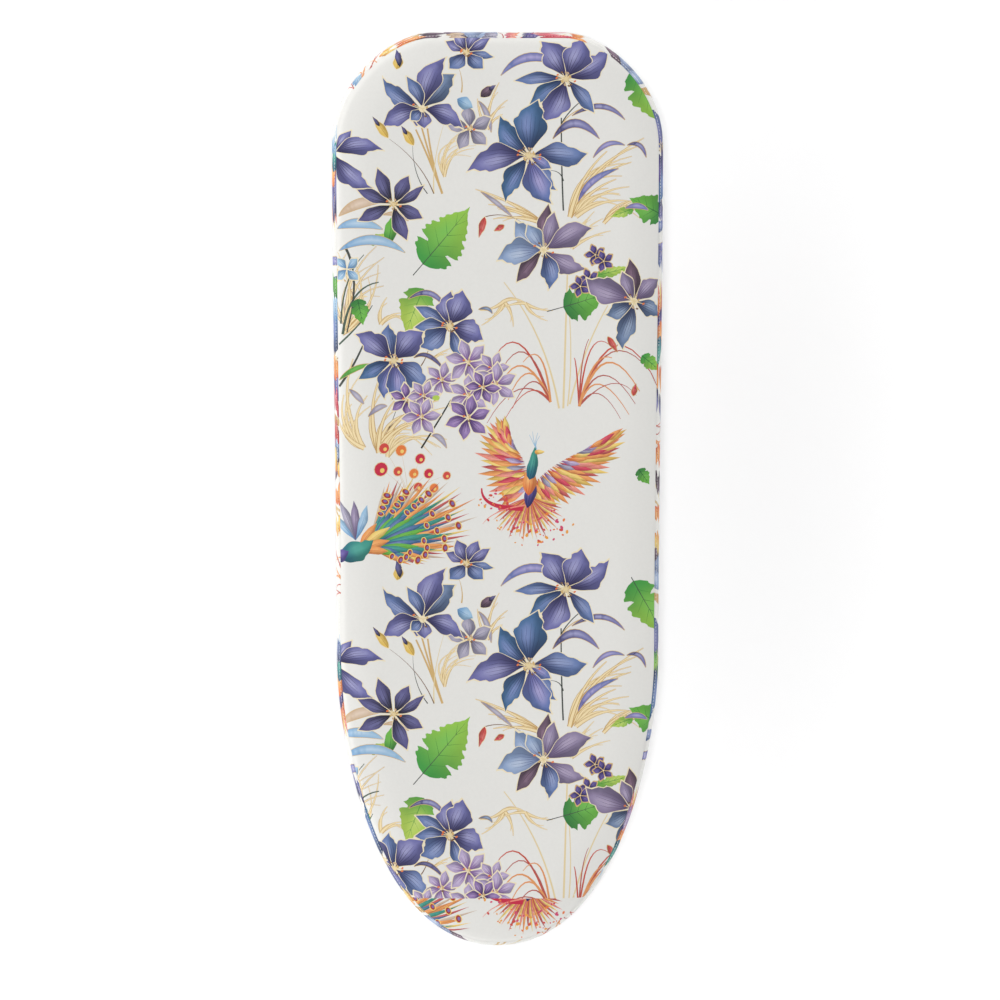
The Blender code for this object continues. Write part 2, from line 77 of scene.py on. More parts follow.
# Cross-section of the cover, read from the frame.
TOP_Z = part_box("cover")[1].z
TUBE_LOW, TUBE_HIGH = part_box("perimeter_tube")
TUBE_RADIUS = (TUBE_HIGH.z - TUBE_LOW.z) / 2
TUBE_Z = (TUBE_HIGH.z + TUBE_LOW.z) / 2
TUBE_OFFSET = WIDE_HALF_WIDTH - TUBE_HIGH.x + TUBE_RADIUS
ELASTIC_LOW, ELASTIC_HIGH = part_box("hem_elastic")
ELASTIC_RADIUS = (ELASTIC_HIGH.z - ELASTIC_LOW.z) / 2
ELASTIC_Z = (ELASTIC_HIGH.z + ELASTIC_LOW.z) / 2
HEM_OFFSET = WIDE_HALF_WIDTH - ELASTIC_HIGH.x + ELASTIC_RADIUS
HEM_BOTTOM_Z = TUBE_Z - TUBE_OFFSET
HEM_FOLD_RADIUS = ELASTIC_Z - HEM_BOTTOM_Z
HEM_FLAP = 0.006
EDGE_RADIUS = 0.013
SEAM_ANGLE = math.radians(45.0)
SEAM_REACH = EDGE_RADIUS * SEAM_ANGLE

# The padding is crowned: it slopes down towards its edge, where the rounding takes over.
CROWN_LEAN = 0.23
CROWN_REACH = 0.026
CROWN_END = EDGE_RADIUS * CROWN_LEAN
CROWN_DROP = CROWN_LEAN * (CROWN_REACH + CROWN_END) / 2 - EDGE_RADIUS * (1.0 - math.cos(CROWN_LEAN))
EDGE_TOP_Z = TOP_Z - CROWN_DROP


# ---------------------------------------------------------------- small helpers

def srgb(red, green, blue):
    """Linear colour from display values of 0 to 255."""
    value = np.array((red, green, blue), float) / 255.0
    return np.where(value <= 0.04045, value / 12.92, ((value + 0.055) / 1.055) ** 2.4)


def smooth(value):
    """Ease from 0 to 1."""
    value = np.clip(value, 0.0, 1.0)
    return value * value * (3.0 - 2.0 * value)


def hump(value, middle, width):
    """A bell-shaped rise to 1 round a middle."""
    return np.exp(-((value - middle) / width) ** 2)


def unit(vectors):
    """Rows scaled to length 1."""
    return vectors / np.linalg.norm(vectors, axis=1)[:, None]


def mix(first, second, share):
    """Blend two colours by an array of shares."""
    share = np.asarray(share)[..., None]
    return first * (1.0 - share) + second * share


def direction(degrees):
    """Unit vector at an angle from +X."""
    return np.array((math.cos(math.radians(degrees)), math.sin(math.radians(degrees))))


def left_of(vector):
    """The vector turned a quarter to the left."""
    return np.array((-vector[1], vector[0]))


def middle_of(node):
    """Centre of a CAD node's box."""
    low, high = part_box(node)
    return (low + high) / 2


def ring_faces(rows, sides, closed=False, start=0):
    """Faces that join rings of points, numbered ring by ring from a start."""
    faces = []
    for row in range(rows if closed else rows - 1):
        lower, upper = start + row * sides, start + (row + 1) % rows * sides
        for index in range(sides):
            after = (index + 1) % sides
            faces.append((lower + index, lower + after, upper + after, upper + index))
    return faces


def end_faces(rows, sides, start=0):
    """The two faces that close joined rings at their ends."""
    last = start + (rows - 1) * sides
    return [tuple(range(start, start + sides))[::-1], tuple(range(last, last + sides))]


def link_mesh(name, mesh, material):
    """Put a mesh into the scene as an object of one material."""
    mesh.materials.append(material)
    piece = bpy.data.objects.new(name, mesh)
    bpy.context.scene.collection.objects.link(piece)
    return piece


def new_piece(name, verts, faces, material):
    """Make a smooth object from arrays."""
    mesh = bpy.data.meshes.new(name)
    mesh.from_pydata([tuple(v) for v in verts], [], [tuple(f) for f in faces])
    mesh.update()
    mesh.polygons.foreach_set("use_smooth", [True] * len(mesh.polygons))
    return link_mesh(name, mesh, material)


def piece_from(builder, name, material):
    """Turn an edit mesh into an object."""
    mesh = bpy.data.meshes.new(name)
    builder.to_mesh(mesh)
    builder.free()
    return link_mesh(name, mesh, material)


def outward_faces(piece, sharp_degrees=50.0, merge=0.0):
    """Merge vertices closer than a distance, point the faces outwards and keep crisp edges crisp."""
    builder = bmesh.new()
    builder.from_mesh(piece.data)
    if merge:
        bmesh.ops.remove_doubles(builder, verts=builder.verts, dist=merge)
    bmesh.ops.recalc_face_normals(builder, faces=builder.faces)
    builder.to_mesh(piece.data)
    builder.free()
    piece.data.shade_smooth()
    piece.data.set_sharp_from_angle(angle=math.radians(sharp_degrees))


def finish_piece(piece, body, slot, *nodes):
    """Let a piece ride on its body and stand for its CAD nodes, which are hidden; the slot is not used."""
    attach(piece, body)
    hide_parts(*nodes)


# ---------------------------------------------------------------- outline of the board

def bezier(points, steps):
    """Points and slopes of a cubic curve, without its last point."""
    t = (np.arange(steps) / steps)[:, None]
    s = 1.0 - t
    a, b, c, d = (np.array(p, float) for p in points)
    place = s ** 3 * a + 3 * s * s * t * b + 3 * s * t * t * c + t ** 3 * d
    slope = s * s * (b - a) + 2 * s * t * (c - b) + t * t * (d - c)
    return place, slope


def board_outline(samples):
    """Closed outline, clockwise from the middle of the square end, its outward normals and its length."""
    side_run = (SHOULDER_Y - NOSE_START_Y) / 3
    corner = (END_FLAT_HALF, HALF_LENGTH)
    shoulder = (WIDE_HALF_WIDTH, SHOULDER_Y)
    nose = (NOSE_HALF_WIDTH, NOSE_START_Y)
    tip = (0.0, -HALF_LENGTH)
    runs = [
        ((0.0, HALF_LENGTH), (END_FLAT_HALF / 3, HALF_LENGTH), (2 * END_FLAT_HALF / 3, HALF_LENGTH), corner),
        (corner, (END_FLAT_HALF + SHOULDER_HANDLE[0], HALF_LENGTH),
         (WIDE_HALF_WIDTH, SHOULDER_Y + SHOULDER_HANDLE[1]), shoulder),
        (shoulder, (WIDE_HALF_WIDTH, SHOULDER_Y - side_run),
         (NOSE_HALF_WIDTH, NOSE_START_Y + side_run), nose),
        (nose, (NOSE_HALF_WIDTH, NOSE_START_Y - NOSE_HANDLE[1]), (NOSE_HANDLE[0], -HALF_LENGTH), tip),
    ]
    places, slopes = zip(*(bezier(run, samples // 4) for run in runs))
    right = np.vstack(places + (np.array([tip]),))
    slope = np.vstack(slopes + (np.array([(-1.0, 0.0)]),))
    normal = np.stack((-slope[:, 1], slope[:, 0]), axis=1)
    normal = unit(normal)
    mirror = np.array((-1.0, 1.0))
    points = np.vstack((right, right[-2:0:-1] * mirror, right[:1]))
    normals = np.vstack((normal, normal[-2:0:-1] * mirror, normal[:1]))
    along = np.concatenate(((0.0,), np.cumsum(np.linalg.norm(np.diff(points, axis=0), axis=1))))
    even = np.linspace(0.0, along[-1], samples, endpoint=False)
    points = np.stack([np.interp(even, along, points[:, k]) for k in range(2)], axis=1)
    normals = np.stack([np.interp(even, along, normals[:, k]) for k in range(2)], axis=1)
    normals = unit(normals)
    return points, normals, along[-1]


OUTLINE, OUTWARD, PERIMETER = board_outline(OUTLINE_SAMPLES)


def ring(count, offset):
    """Evenly spaced points round the board, moved in from its edge."""
    pick = (np.arange(count) * OUTLINE_SAMPLES // count) % OUTLINE_SAMPLES
    return OUTLINE[pick] - OUTWARD[pick] * offset


def outline_at(run):
    """Outline points and outward normals at lengths along it."""
    place = (run / PERIMETER * OUTLINE_SAMPLES) % OUTLINE_SAMPLES
    low = np.floor(place).astype(int) % OUTLINE_SAMPLES
    share = (place - np.floor(place))[:, None]
    high = (low + 1) % OUTLINE_SAMPLES
    normal = unit(OUTWARD[low] * (1 - share) + OUTWARD[high] * share)
    return OUTLINE[low] * (1 - share) + OUTLINE[high] * share, normal


# ---------------------------------------------------------------- drawing the printed pattern, in millimetres

GROUND = srgb(229, 228, 224)
CREAM = srgb(236, 222, 186)
GOLD = srgb(206, 172, 112)
PALE_GOLD = srgb(226, 206, 160)
BLADE_LINE = srgb(186, 146, 88)
PALE_BLADE = srgb(238, 218, 172)
BROWN = srgb(120, 88, 62)
STEM_DARK = srgb(62, 66, 62)

# Petal tones: the throat, the tip, the light band and the veins.
TONES = {tone: [srgb(*colour) for colour in colours] for tone, colours in {
    "blue": ((40, 46, 92), (92, 116, 168), (158, 170, 208), (44, 50, 94)),
    "teal": ((30, 48, 92), (62, 104, 148), (132, 148, 198), (34, 50, 88)),
    "violet": ((38, 34, 82), (104, 104, 164), (168, 168, 208), (46, 40, 84)),
    "lavender": ((96, 94, 154), (90, 112, 170), (180, 172, 216), (66, 64, 118)),
    "slate": ((44, 52, 88), (100, 122, 158), (158, 174, 198), (48, 56, 86)),
    "dark": ((26, 24, 40), (86, 82, 132), (116, 116, 164), (22, 20, 36)),
    "pale": ((120, 134, 168), (134, 158, 196), (190, 202, 222), (86, 100, 140)),
    "mauve": ((104, 88, 124), (134, 120, 154), (182, 170, 196), (92, 78, 110)),
    "burgundy": ((70, 52, 66), (94, 72, 92), (140, 112, 134), (58, 42, 54)),
    "orchid": ((140, 108, 160), (176, 160, 198), (212, 198, 222), (120, 84, 146)),
    "deep": ((84, 52, 116), (136, 108, 168), (184, 158, 204), (70, 42, 100)),
    "grey": ((122, 118, 140), (158, 154, 176), (196, 192, 208), (104, 98, 124)),
    "leaf": ((58, 152, 64), (146, 196, 72), (120, 190, 84), (44, 112, 48)),
    "lime": ((92, 164, 66), (176, 204, 84), (196, 216, 116), (84, 146, 60)),
    "green": ((46, 124, 58), (104, 178, 66), (116, 186, 84), (34, 92, 44)),
    "tan": ((196, 166, 132), (206, 182, 160), (226, 206, 188), (170, 140, 110)),
    "gold": ((204, 168, 104), (224, 200, 148), (240, 224, 184), (186, 150, 92)),
    "yellow": ((226, 190, 92), (214, 174, 84), (240, 216, 136), (180, 140, 66)),
    "red": ((206, 70, 62), (190, 84, 84), (224, 130, 120), (160, 50, 50)),
    "crimson": ((196, 34, 66), (208, 60, 88), (226, 110, 120), (160, 26, 50)),
    "orange": ((226, 120, 58), (232, 150, 84), (244, 190, 120), (196, 84, 50)),
    "amber": ((232, 160, 70), (238, 204, 110), (246, 226, 150), (206, 130, 60)),
    "pink": ((206, 70, 110), (232, 138, 120), (242, 180, 160), (180, 56, 90)),
    "peacock": ((22, 92, 122), (52, 142, 128), (92, 176, 160), (20, 72, 96)),
    "indigo": ((48, 44, 110), (84, 70, 140), (120, 104, 168), (36, 32, 84)),
    "sky": ((108, 156, 200), (148, 186, 216), (190, 212, 230), (90, 130, 172)),
}.items()}

EDGE_WAVE = 0.10
# Each place or gleam below is the (middle, width) of a hump on a petal of length 1 and half width 1.
LOBE_DEPTH = 0.50
LOBE_PLACE = (0.31, 0.035)
TIP_LOBE_DEPTH = 0.15
TIP_LOBE_PLACE = (0.62, 0.03)
TOOTH_DEPTH = 0.09
TIP_REACH = 0.07
TIP_CURL = 0.11
NOTCH_DEPTH = 0.28
NOTCH_PLACE = (0.74, 0.06)
GLEAM_ALONG = (0.58, 0.24)
GLEAM_ACROSS = (0.25, 0.38)
PETAL_SHADE = 0.38
LEAF_SHADE = 0.14
PETAL_STEPS = 10
WIDE_PETAL_STEPS = 18
WIDE_PETAL = 15
NARROW_PETAL = 6
VEIN_HALF_WIDTH = (0.34, 0.06)
BLADE_STEPS = 12
SMALL_SPOT = 1.7
GOLDEN_TURN = 137.5


class Shape:
    """One flat area of the print: a closed outline, points inside it, and the colour at any point."""

    def __init__(self, outline, colour_at, inner=(), fine=False):
        self.outline = np.asarray(outline, float)
        self.inner = np.asarray(inner, float).reshape(-1, 2)
        self.colour_at = colour_at
        self.fine = fine


def plain(colour):
    """The same colour all over."""
    return lambda points: np.repeat(colour[None, :], len(points), axis=0)


def ribbon(points, side, half):
    """Closed outline of a strip with a half width at each point of its middle line."""
    return np.vstack((points + side * half, (points - side * half)[::-1]))


def lens_half_width(t, width, belly, blunt):
    """Half width along a petal, widest at its belly."""
    power = math.log(0.5) / math.log(belly)
    return 0.5 * width * np.sin(np.pi * np.clip(t, 0.0, 1.0) ** power) ** blunt


def petal_frame(base, angle, length, bend, curl=0.0):
    """Where a petal's own (along, across) coordinates lie on the cloth, and back."""
    base = np.asarray(base, float)
    ahead = direction(angle)
    aside = left_of(ahead)

    def sway(t):
        return length * (bend * t * t + curl * np.clip(t, 0.0, 1.2) ** 6)

    def place(t, across):
        return base + np.outer(t * length, ahead) + np.outer(across + sway(t), aside)

    def own(points):
        rel = points - base
        t = rel @ ahead / length
        return t, rel @ aside - sway(t)

    return place, own


def petal(base, angle, length, width, bend=0.0, tone="blue", belly=0.58, blunt=0.8, halo=0.55, veins=3,
          teeth=0):
    """One petal, leaf or feather: a pale outline, the shaded body and fine veins."""
    throat, tip, light, vein = TONES[tone]
    wide = width > WIDE_PETAL and not teeth
    curl = TIP_CURL * math.copysign(1.0, math.sin(0.11 * angle + 0.6)) if wide else 0.0
    place, own = petal_frame(base, angle, length, bend, curl)
    steps = 4 * teeth or (WIDE_PETAL_STEPS if wide else PETAL_STEPS)

    def body_outline(extra):
        t = np.linspace(0.0, 1.0, steps + 1)
        half = lens_half_width(t, width, belly, blunt)
        wave = EDGE_WAVE * np.sin(4.2 * np.pi * t + 0.13 * angle) * np.sqrt(t)
        if wide:
            notch = NOTCH_DEPTH * hump(t, *NOTCH_PLACE)
            half = half * (1.0 - notch * (0.4 + 0.6 * math.sin(angle) ** 2))
        if teeth:
            half = half * (1.0 + TOOTH_DEPTH * np.where(np.arange(steps + 1) % 4 > 1, 1.0, -0.4) * (t > 0.1))
            wave = -LOBE_DEPTH * hump(t, *LOBE_PLACE) - TIP_LOBE_DEPTH * hump(t, *TIP_LOBE_PLACE)
        grow = np.linspace(-extra / length, 1.0 + 2.2 * extra / length, steps + 1)
        grow[-1] += TIP_REACH
        left = place(grow, half * (1.0 + wave) + extra)
        right = place(grow, -half * (1.0 + (wave if teeth else -wave)) - extra)
        return np.vstack((left, right[::-1]))

    def colour_at(points):
        t, across = own(points)
        v = np.clip(across / (lens_half_width(t, width, belly, blunt) + 0.1), -1.0, 1.0)
        gleam = hump(v, *GLEAM_ACROSS) * hump(t, *GLEAM_ALONG)
        body = mix(mix(throat, tip, smooth(1.25 * t)), light, 0.9 * gleam)
        shade = LEAF_SHADE if teeth else PETAL_SHADE
        return body * (1.0 - shade * smooth(-1.4 * v))[:, None]

    made = []
    if halo:
        made.append(Shape(body_outline(halo), plain(GOLD if width < NARROW_PETAL else CREAM), fine=True))
    levels = (0.15, 0.32, 0.5, 0.68, 0.86) if wide else (0.2, 0.45, 0.7, 0.9)
    rows = np.repeat(np.array(levels), 3)
    share = np.tile(np.array((-0.55, 0.05, 0.55)), len(levels))
    inner = place(rows, share * lens_half_width(rows, width, belly, blunt))
    made.append(Shape(body_outline(0.0), colour_at, inner))
    if veins > 1 and wide:
        veins += 2
    for index in range(veins):
        v = 0.0 if veins == 1 else -0.55 + 1.1 * index / (veins - 1)
        t = np.linspace(0.03, 0.8 - 0.22 * abs(v), 4)
        middle = v * lens_half_width(t, width, belly, blunt)
        thin = np.linspace(*VEIN_HALF_WIDTH, 4)
        edge = np.vstack((place(t, middle + thin), place(t, middle - thin)[::-1]))
        made.append(Shape(edge, plain(vein), fine=True))
    return made


def path_points(start, control, end, steps):
    """Points and left-hand normals along a curve with one control point."""
    t = np.linspace(0.0, 1.0, steps + 1)[:, None]
    a, b, c = (np.array(p, float) for p in (start, control, end))
    points = (1 - t) ** 2 * a + 2 * t * (1 - t) * b + t * t * c
    slope = (1 - t) * (b - a) + t * (c - b)
    slope /= np.linalg.norm(slope, axis=1)[:, None] + 1e-9
    return points, np.stack((-slope[:, 1], slope[:, 0]), axis=1)


def stroke(start, control, end, width, colour, taper=0.25, steps=10, fine=False):
    """A stem or a blade of grass, thinning towards its end."""
    points, side = path_points(start, control, end, steps)
    half = np.linspace(width, width * taper, steps + 1)[:, None] / 2
    return [Shape(ribbon(points, side, half), plain(colour), fine=fine)]


def blade(start, control, end, width, tone, halo=0.5):
    """A long leaf along a curve, with a pale outline and a light middle."""
    throat, tip, light, _ = TONES[tone]
    steps = BLADE_STEPS
    points, side = path_points(start, control, end, steps)
    half = lens_half_width(np.linspace(0.0, 1.0, steps + 1), width, 0.5, 0.8)[:, None]

    def colour_at(where):
        gap = np.linalg.norm(where[:, None, :] - points[None, :, :], axis=2)
        nearest = gap.argmin(axis=1)
        share = nearest / steps
        inside = 1.0 - np.clip(gap.min(axis=1) / (half[nearest, 0] + 0.2), 0.0, 1.0)
        gleam = hump(share, 0.5, 0.22)
        return mix(mix(throat, tip, share), light, inside * (0.35 + 0.6 * gleam))

    return [Shape(ribbon(points, side, half + halo), plain(GOLD)),
            Shape(ribbon(points, side, half), colour_at, points[1:-1])]


def spot(centre, radius, colour, stretch=1.0, angle=0.0, sides=9):
    """A small round or oval dot."""
    turn = np.linspace(0.0, 2 * np.pi, sides, endpoint=False)
    ahead = direction(angle)
    rim = np.outer(np.cos(turn) * radius * stretch, ahead) + np.outer(np.sin(turn) * radius, left_of(ahead))
    return [Shape(np.array(centre) + rim, plain(colour), fine=radius < SMALL_SPOT)]


def flower(centre, petals, heart="cream", stamens=7):
    """Petals (angle, length, width, bend, tone) round a heart with stamens."""
    made = []
    centre = np.array(centre, float)
    for angle, length, width, bend, tone in petals:
        start = centre + direction(angle) * 0.06 * length
        made += petal(start, angle, 0.96 * length, 1.06 * width, 1.4 * bend, tone, 0.6, 0.82)
    size = max(p[1] for p in petals) * 0.075
    heart_colour = {"cream": CREAM, "gold": GOLD, "orange": TONES["tan"][0]}[heart]
    made += spot(centre, size, heart_colour)
    for index in range(round(1.4 * stamens)):
        angle = GOLDEN_TURN * index + 17.0
        reach = size * (1.3 + 0.45 * ((index * 7) % 4))
        end = centre + direction(angle) * reach
        made += stroke(centre, (centre + end) / 2, end, 0.9, PALE_GOLD, 0.7, 2)
        head = (GOLD, TONES["orange"][0], BROWN, TONES["tan"][0])[index % 4]
        made += spot(end, 0.95, head, 1.5, angle + 50, 6)
    return made


def regular_flower(centre, count, length, width, turn, tone, heart="cream", stamens=5):
    """A flower with equal petals."""
    petals = [(turn + 360.0 * k / count, length * (1.0 + 0.12 * math.sin(3.1 * k)), width, 0.08, tone)
              for k in range(count)]
    return flower(centre, petals, heart, stamens)


def bud(base, angle, length, width, tone, tip_tone="dark"):
    """A closed bud with a darker tip."""
    tip_at = np.array(base, float) + direction(angle) * 0.62 * length
    return petal(base, angle, length, width, 0.0, tone, 0.45, 0.9, 0.5, 1) + \
        petal(tip_at, angle, 0.5 * length, 0.45 * width, 0.0, tip_tone, 0.4, 0.9, 0, 0)


def leaf(base, angle, length, width, tone, bend=0.0, teeth=7, stalk=0.0):
    """A toothed leaf with a midrib and side veins."""
    made = petal(base, angle, length, width, bend, tone, 0.36, 0.85, 0, 0, teeth)
    vein = TONES[tone][3]
    place, _ = petal_frame(base, angle, length, bend)
    for index in range(4):
        for side in (-1, 1):
            t = 0.16 + 0.19 * index
            half = lens_half_width(np.array([t + 0.12]), width, 0.36, 0.85)[0]
            start, end = place(np.array((t, t + 0.17)), np.array((0.0, side * 0.72 * half)))
            made += stroke(start, (start + end) / 2, end, 0.4, vein, 0.2, 3, True)
    middle, tip = place(np.array((0.5, 0.96)), np.zeros(2))
    start = np.array(base) - direction(angle) * stalk
    return made + stroke(start, middle, tip, 0.9, STEM_DARK if stalk else vein, 0.2, 8)


def tuft(base, ends, width, colour, lean=0.25, taper=0.22):
    """Arching grass blades rising from one place, each with a shorter one beside it."""
    made = []
    foot = np.array(base, float)
    edge = mix(colour, BLADE_LINE, 0.6)
    for index, end in enumerate(ends):
        reach = np.array(end, float) - foot
        side = left_of(reach) * lean * (1.5 if index % 2 else 1.0)
        for share, arch in ((0.8, 1.5), (1.0, 1.0)):
            tip = foot + share * reach - 0.35 * side * arch
            control = foot + 0.55 * share * reach + side * arch
            made += stroke(base, control, tip, 2.4 * share * width, edge, taper, 8, share < 1)
            made += stroke(base, control, tip, 1.5 * share * width, PALE_BLADE, 0.2, 8, True)
    return made


def feather_fan(base, first, last, lengths, width, tones, bend=0.0, veins=1, count=None):
    """Feathers spread between two angles, their tones taken in turn."""
    made = []
    count = count or len(lengths)
    lengths = np.interp(np.linspace(0, 1, count), np.linspace(0, 1, len(lengths)), lengths)
    for index, length in enumerate(lengths):
        length *= 1.0 + 0.07 * math.sin(2.3 * index)
        angle = first + (last - first) * index / (count - 1)
        made += petal(base, angle, length, width, bend, tones[index % len(tones)], 0.62, 0.75, 0, veins)
    return made


def wing(start, control, end, angles, lengths, width, tones, count, bend):
    """Feathers set along a curved arm, turning from its root to its tip."""
    made = []
    arm, _ = path_points(start, control, end, count - 1)
    for index, base in enumerate(arm):
        share = 4.0 * index / (count - 1)
        angle = np.interp(share, np.arange(5), angles)
        length = np.interp(share, np.arange(5), lengths) * (1.0 + 0.08 * math.sin(2.3 * index))
        made += petal(base, angle, length, width, bend, tones[index % len(tones)], 0.62, 0.75, 0, 1)
    return made


def drawn(rows):
    """Shapes of a table's rows, each a drawing function and its arguments, in painter's order."""
    return [shape for draw, *given in rows for shape in draw(*given)]


# ---------------------------------------------------------------- the pattern, in millimetres on the board

# These three are in metres: the printed cloth's repeat, the join across the nose and how far the cloth below
# the join is shifted.
PATTERN_REPEAT = 0.4855
CLOTH_JOIN_Y = -0.388
JOIN_SHIFT = -0.376
SPATTER_DOTS = 90
SPATTER_SEED = 11

OLIVE = srgb(74, 92, 78)
NEAR_BLACK = srgb(40, 38, 34)
REED_RED = srgb(196, 78, 62)
REED_RUST = srgb(176, 84, 76)
REED_ORANGE = srgb(222, 150, 92)

# Everything thin that lies behind the leaves and flowers.
STEMS_AND_GRASSES = (
    *((stroke, (-52, 284), (-62, 312), end, 2.2, GOLD, 0.7) for end in ((-72, 349), (-77, 345), (-66, 346))),
    (stroke, (-60, 284), (-62, 315), (-50, 352), 1.3, PALE_GOLD),
    (tuft, (-50, 300), ((-20, 342), (-30, 350), (-40, 340), (-26, 330)), 1.1, PALE_GOLD),
    (stroke, (-60, 284), (-72, 315), (-102, 336), 1.0, BROWN),
    (stroke, (-66, 284), (-80, 302), (-80, 330), 1.0, STEM_DARK),
    (stroke, (-34, 380), (-32, 390), (-36, 402), 1.4, GOLD),
    (tuft, (-10, 345), ((0, 390), (8, 374), (-20, 374), (4, 360)), 1.5, GOLD, 0.1),
    (stroke, (62, 268), (60, 310), (60, 356), 1.5, STEM_DARK, 0.8),
    (stroke, (60, 350), (66, 362), (79, 372), 1.2, STEM_DARK, 0.7),
    (stroke, (62, 352), (74, 368), (96, 367), 1.0, GOLD),
    (stroke, (62, 296), (60, 306), (50, 306), 1.3, STEM_DARK),
    (tuft, (68, 262), ((134, 340), (122, 318), (110, 300), (128, 334), (100, 326)), 2.0, GOLD, 0.14),
    (tuft, (74, 262), ((122, 294), (112, 288), (126, 280)), 1.8, PALE_GOLD, 0.2),
    (tuft, (100, 256), ((150, 285), (140, 270), (146, 278)), 1.5, GOLD, 0.22),
    (tuft, (42, 256), ((-20, 290), (-8, 276), (0, 272), (-4, 262)), 1.7, GOLD, -0.08),
    (tuft, (70, 232), ((90, 268), (98, 262), (106, 250), (84, 262)), 1.3, PALE_GOLD, 0.1),
    (stroke, (-12, 262), (8, 268), (24, 256), 0.9, BROWN),
    (tuft, (-142, 158), ((-112, 226), (-150, 226), (-120, 236), (-112, 200)), 1.6, TONES["grey"][1], 0.22),
    (tuft, (-146, 150), ((-146, 228), (-130, 222), (-108, 214)), 1.4, GOLD, -0.2),
    (stroke, (-146, 150), (-140, 196), (-112, 200), 2.6, OLIVE, 0.4),
    (stroke, (-143, 232), (-128, 205), (-142, 152), 2.6, STEM_DARK, 0.5),
    (stroke, (-150, 100), (-134, 120), (-122, 152), 2.4, STEM_DARK, 0.6),
    (stroke, (-148, 160), (-146, 205), (-126, 226), 1.8, OLIVE, 0.4),
    (stroke, (-150, 140), (-128, 160), (-118, 178), 1.8, OLIVE, 0.4),
    (stroke, (-91, 104), (-88, 92), (-108, 48), 1.2, STEM_DARK),
    (tuft, (-110, 160), ((-106, 186), (-84, 168), (-92, 172)), 1.6, PALE_GOLD, 0.2),
    (tuft, (-126, 42), ((-142, 126), (-150, 90), (-146, 76), (-128, 92), (-152, 66)), 2.0, PALE_GOLD, 0.2),
    (tuft, (-112, 38), ((-114, 112), (-60, 92), (-52, 84), (-76, 70), (-100, 88)), 2.2, GOLD, 0.16),
    (tuft, (-104, 34), ((-50, 56), (-56, 50), (-84, 66)), 1.6, PALE_GOLD, 0.3),
    (stroke, (-72, 42), (-58, 64), (-44, 88), 1.7, NEAR_BLACK, 0.8),
    (stroke, (-74, 118), (-66, 128), (-64, 142), 1.2, BROWN),
    (tuft, (-62, 126), ((-44, 138), (-48, 133)), 1.1, PALE_GOLD, 0.1),
    (stroke, (58, 80), (46, 150), (6, 200), 1.9, PALE_GOLD, 0.5),
    (stroke, (62, 80), (64, 150), (66, 214), 2.0, PALE_GOLD, 0.7),
    (stroke, (66, 82), (72, 130), (66, 190), 1.3, PALE_GOLD, 0.6),
    (stroke, (68, 84), (82, 140), (104, 178), 1.7, PALE_GOLD, 0.6),
    (tuft, (6, 182), ((-14, 158), (-4, 166), (16, 158), (26, 182), (-16, 172)), 1.5, PALE_GOLD, 0.15),
    (tuft, (26, 180), ((52, 172), (46, 162), (4, 176)), 1.3, PALE_GOLD, -0.12),
)

# Red and orange arching blades: where they rise, and the bend, end, colour and width of each.
REEDS = (
    ((50, 86), (
        ((19, 181), (-8, 118), REED_RED, 2.2), ((26, 172), (-2, 104), REED_RUST, 1.8),
        ((22, 150), (0, 96), REED_ORANGE, 2.6), ((30, 140), (10, 88), REED_ORANGE, 2.4),
        ((34, 128), (14, 80), REED_RUST, 1.8), ((20, 120), (-10, 66), REED_RUST, 1.6),
        ((30, 118), (2, 60), REED_RED, 1.4), ((44, 150), (24, 124), REED_ORANGE, 2.2))),
    ((77, 82), (
        ((109, 188), (152, 100), REED_RED, 2.2), ((104, 170), (146, 112), REED_RUST, 1.8),
        ((100, 158), (134, 96), REED_ORANGE, 2.8), ((96, 140), (130, 84), REED_RUST, 1.8),
        ((92, 128), (124, 74), REED_ORANGE, 2.0), ((94, 112), (116, 70), REED_RUST, 1.4),
        ((84, 160), (106, 140), REED_RED, 1.8), ((74, 130), (72, 128), REED_RED, 1.8),
        ((78, 130), (86, 146), REED_RUST, 1.7), ((110, 120), (131, 92), REED_RUST, 1.2),
        ((90, 136), (108, 128), REED_ORANGE, 2.4))),
)

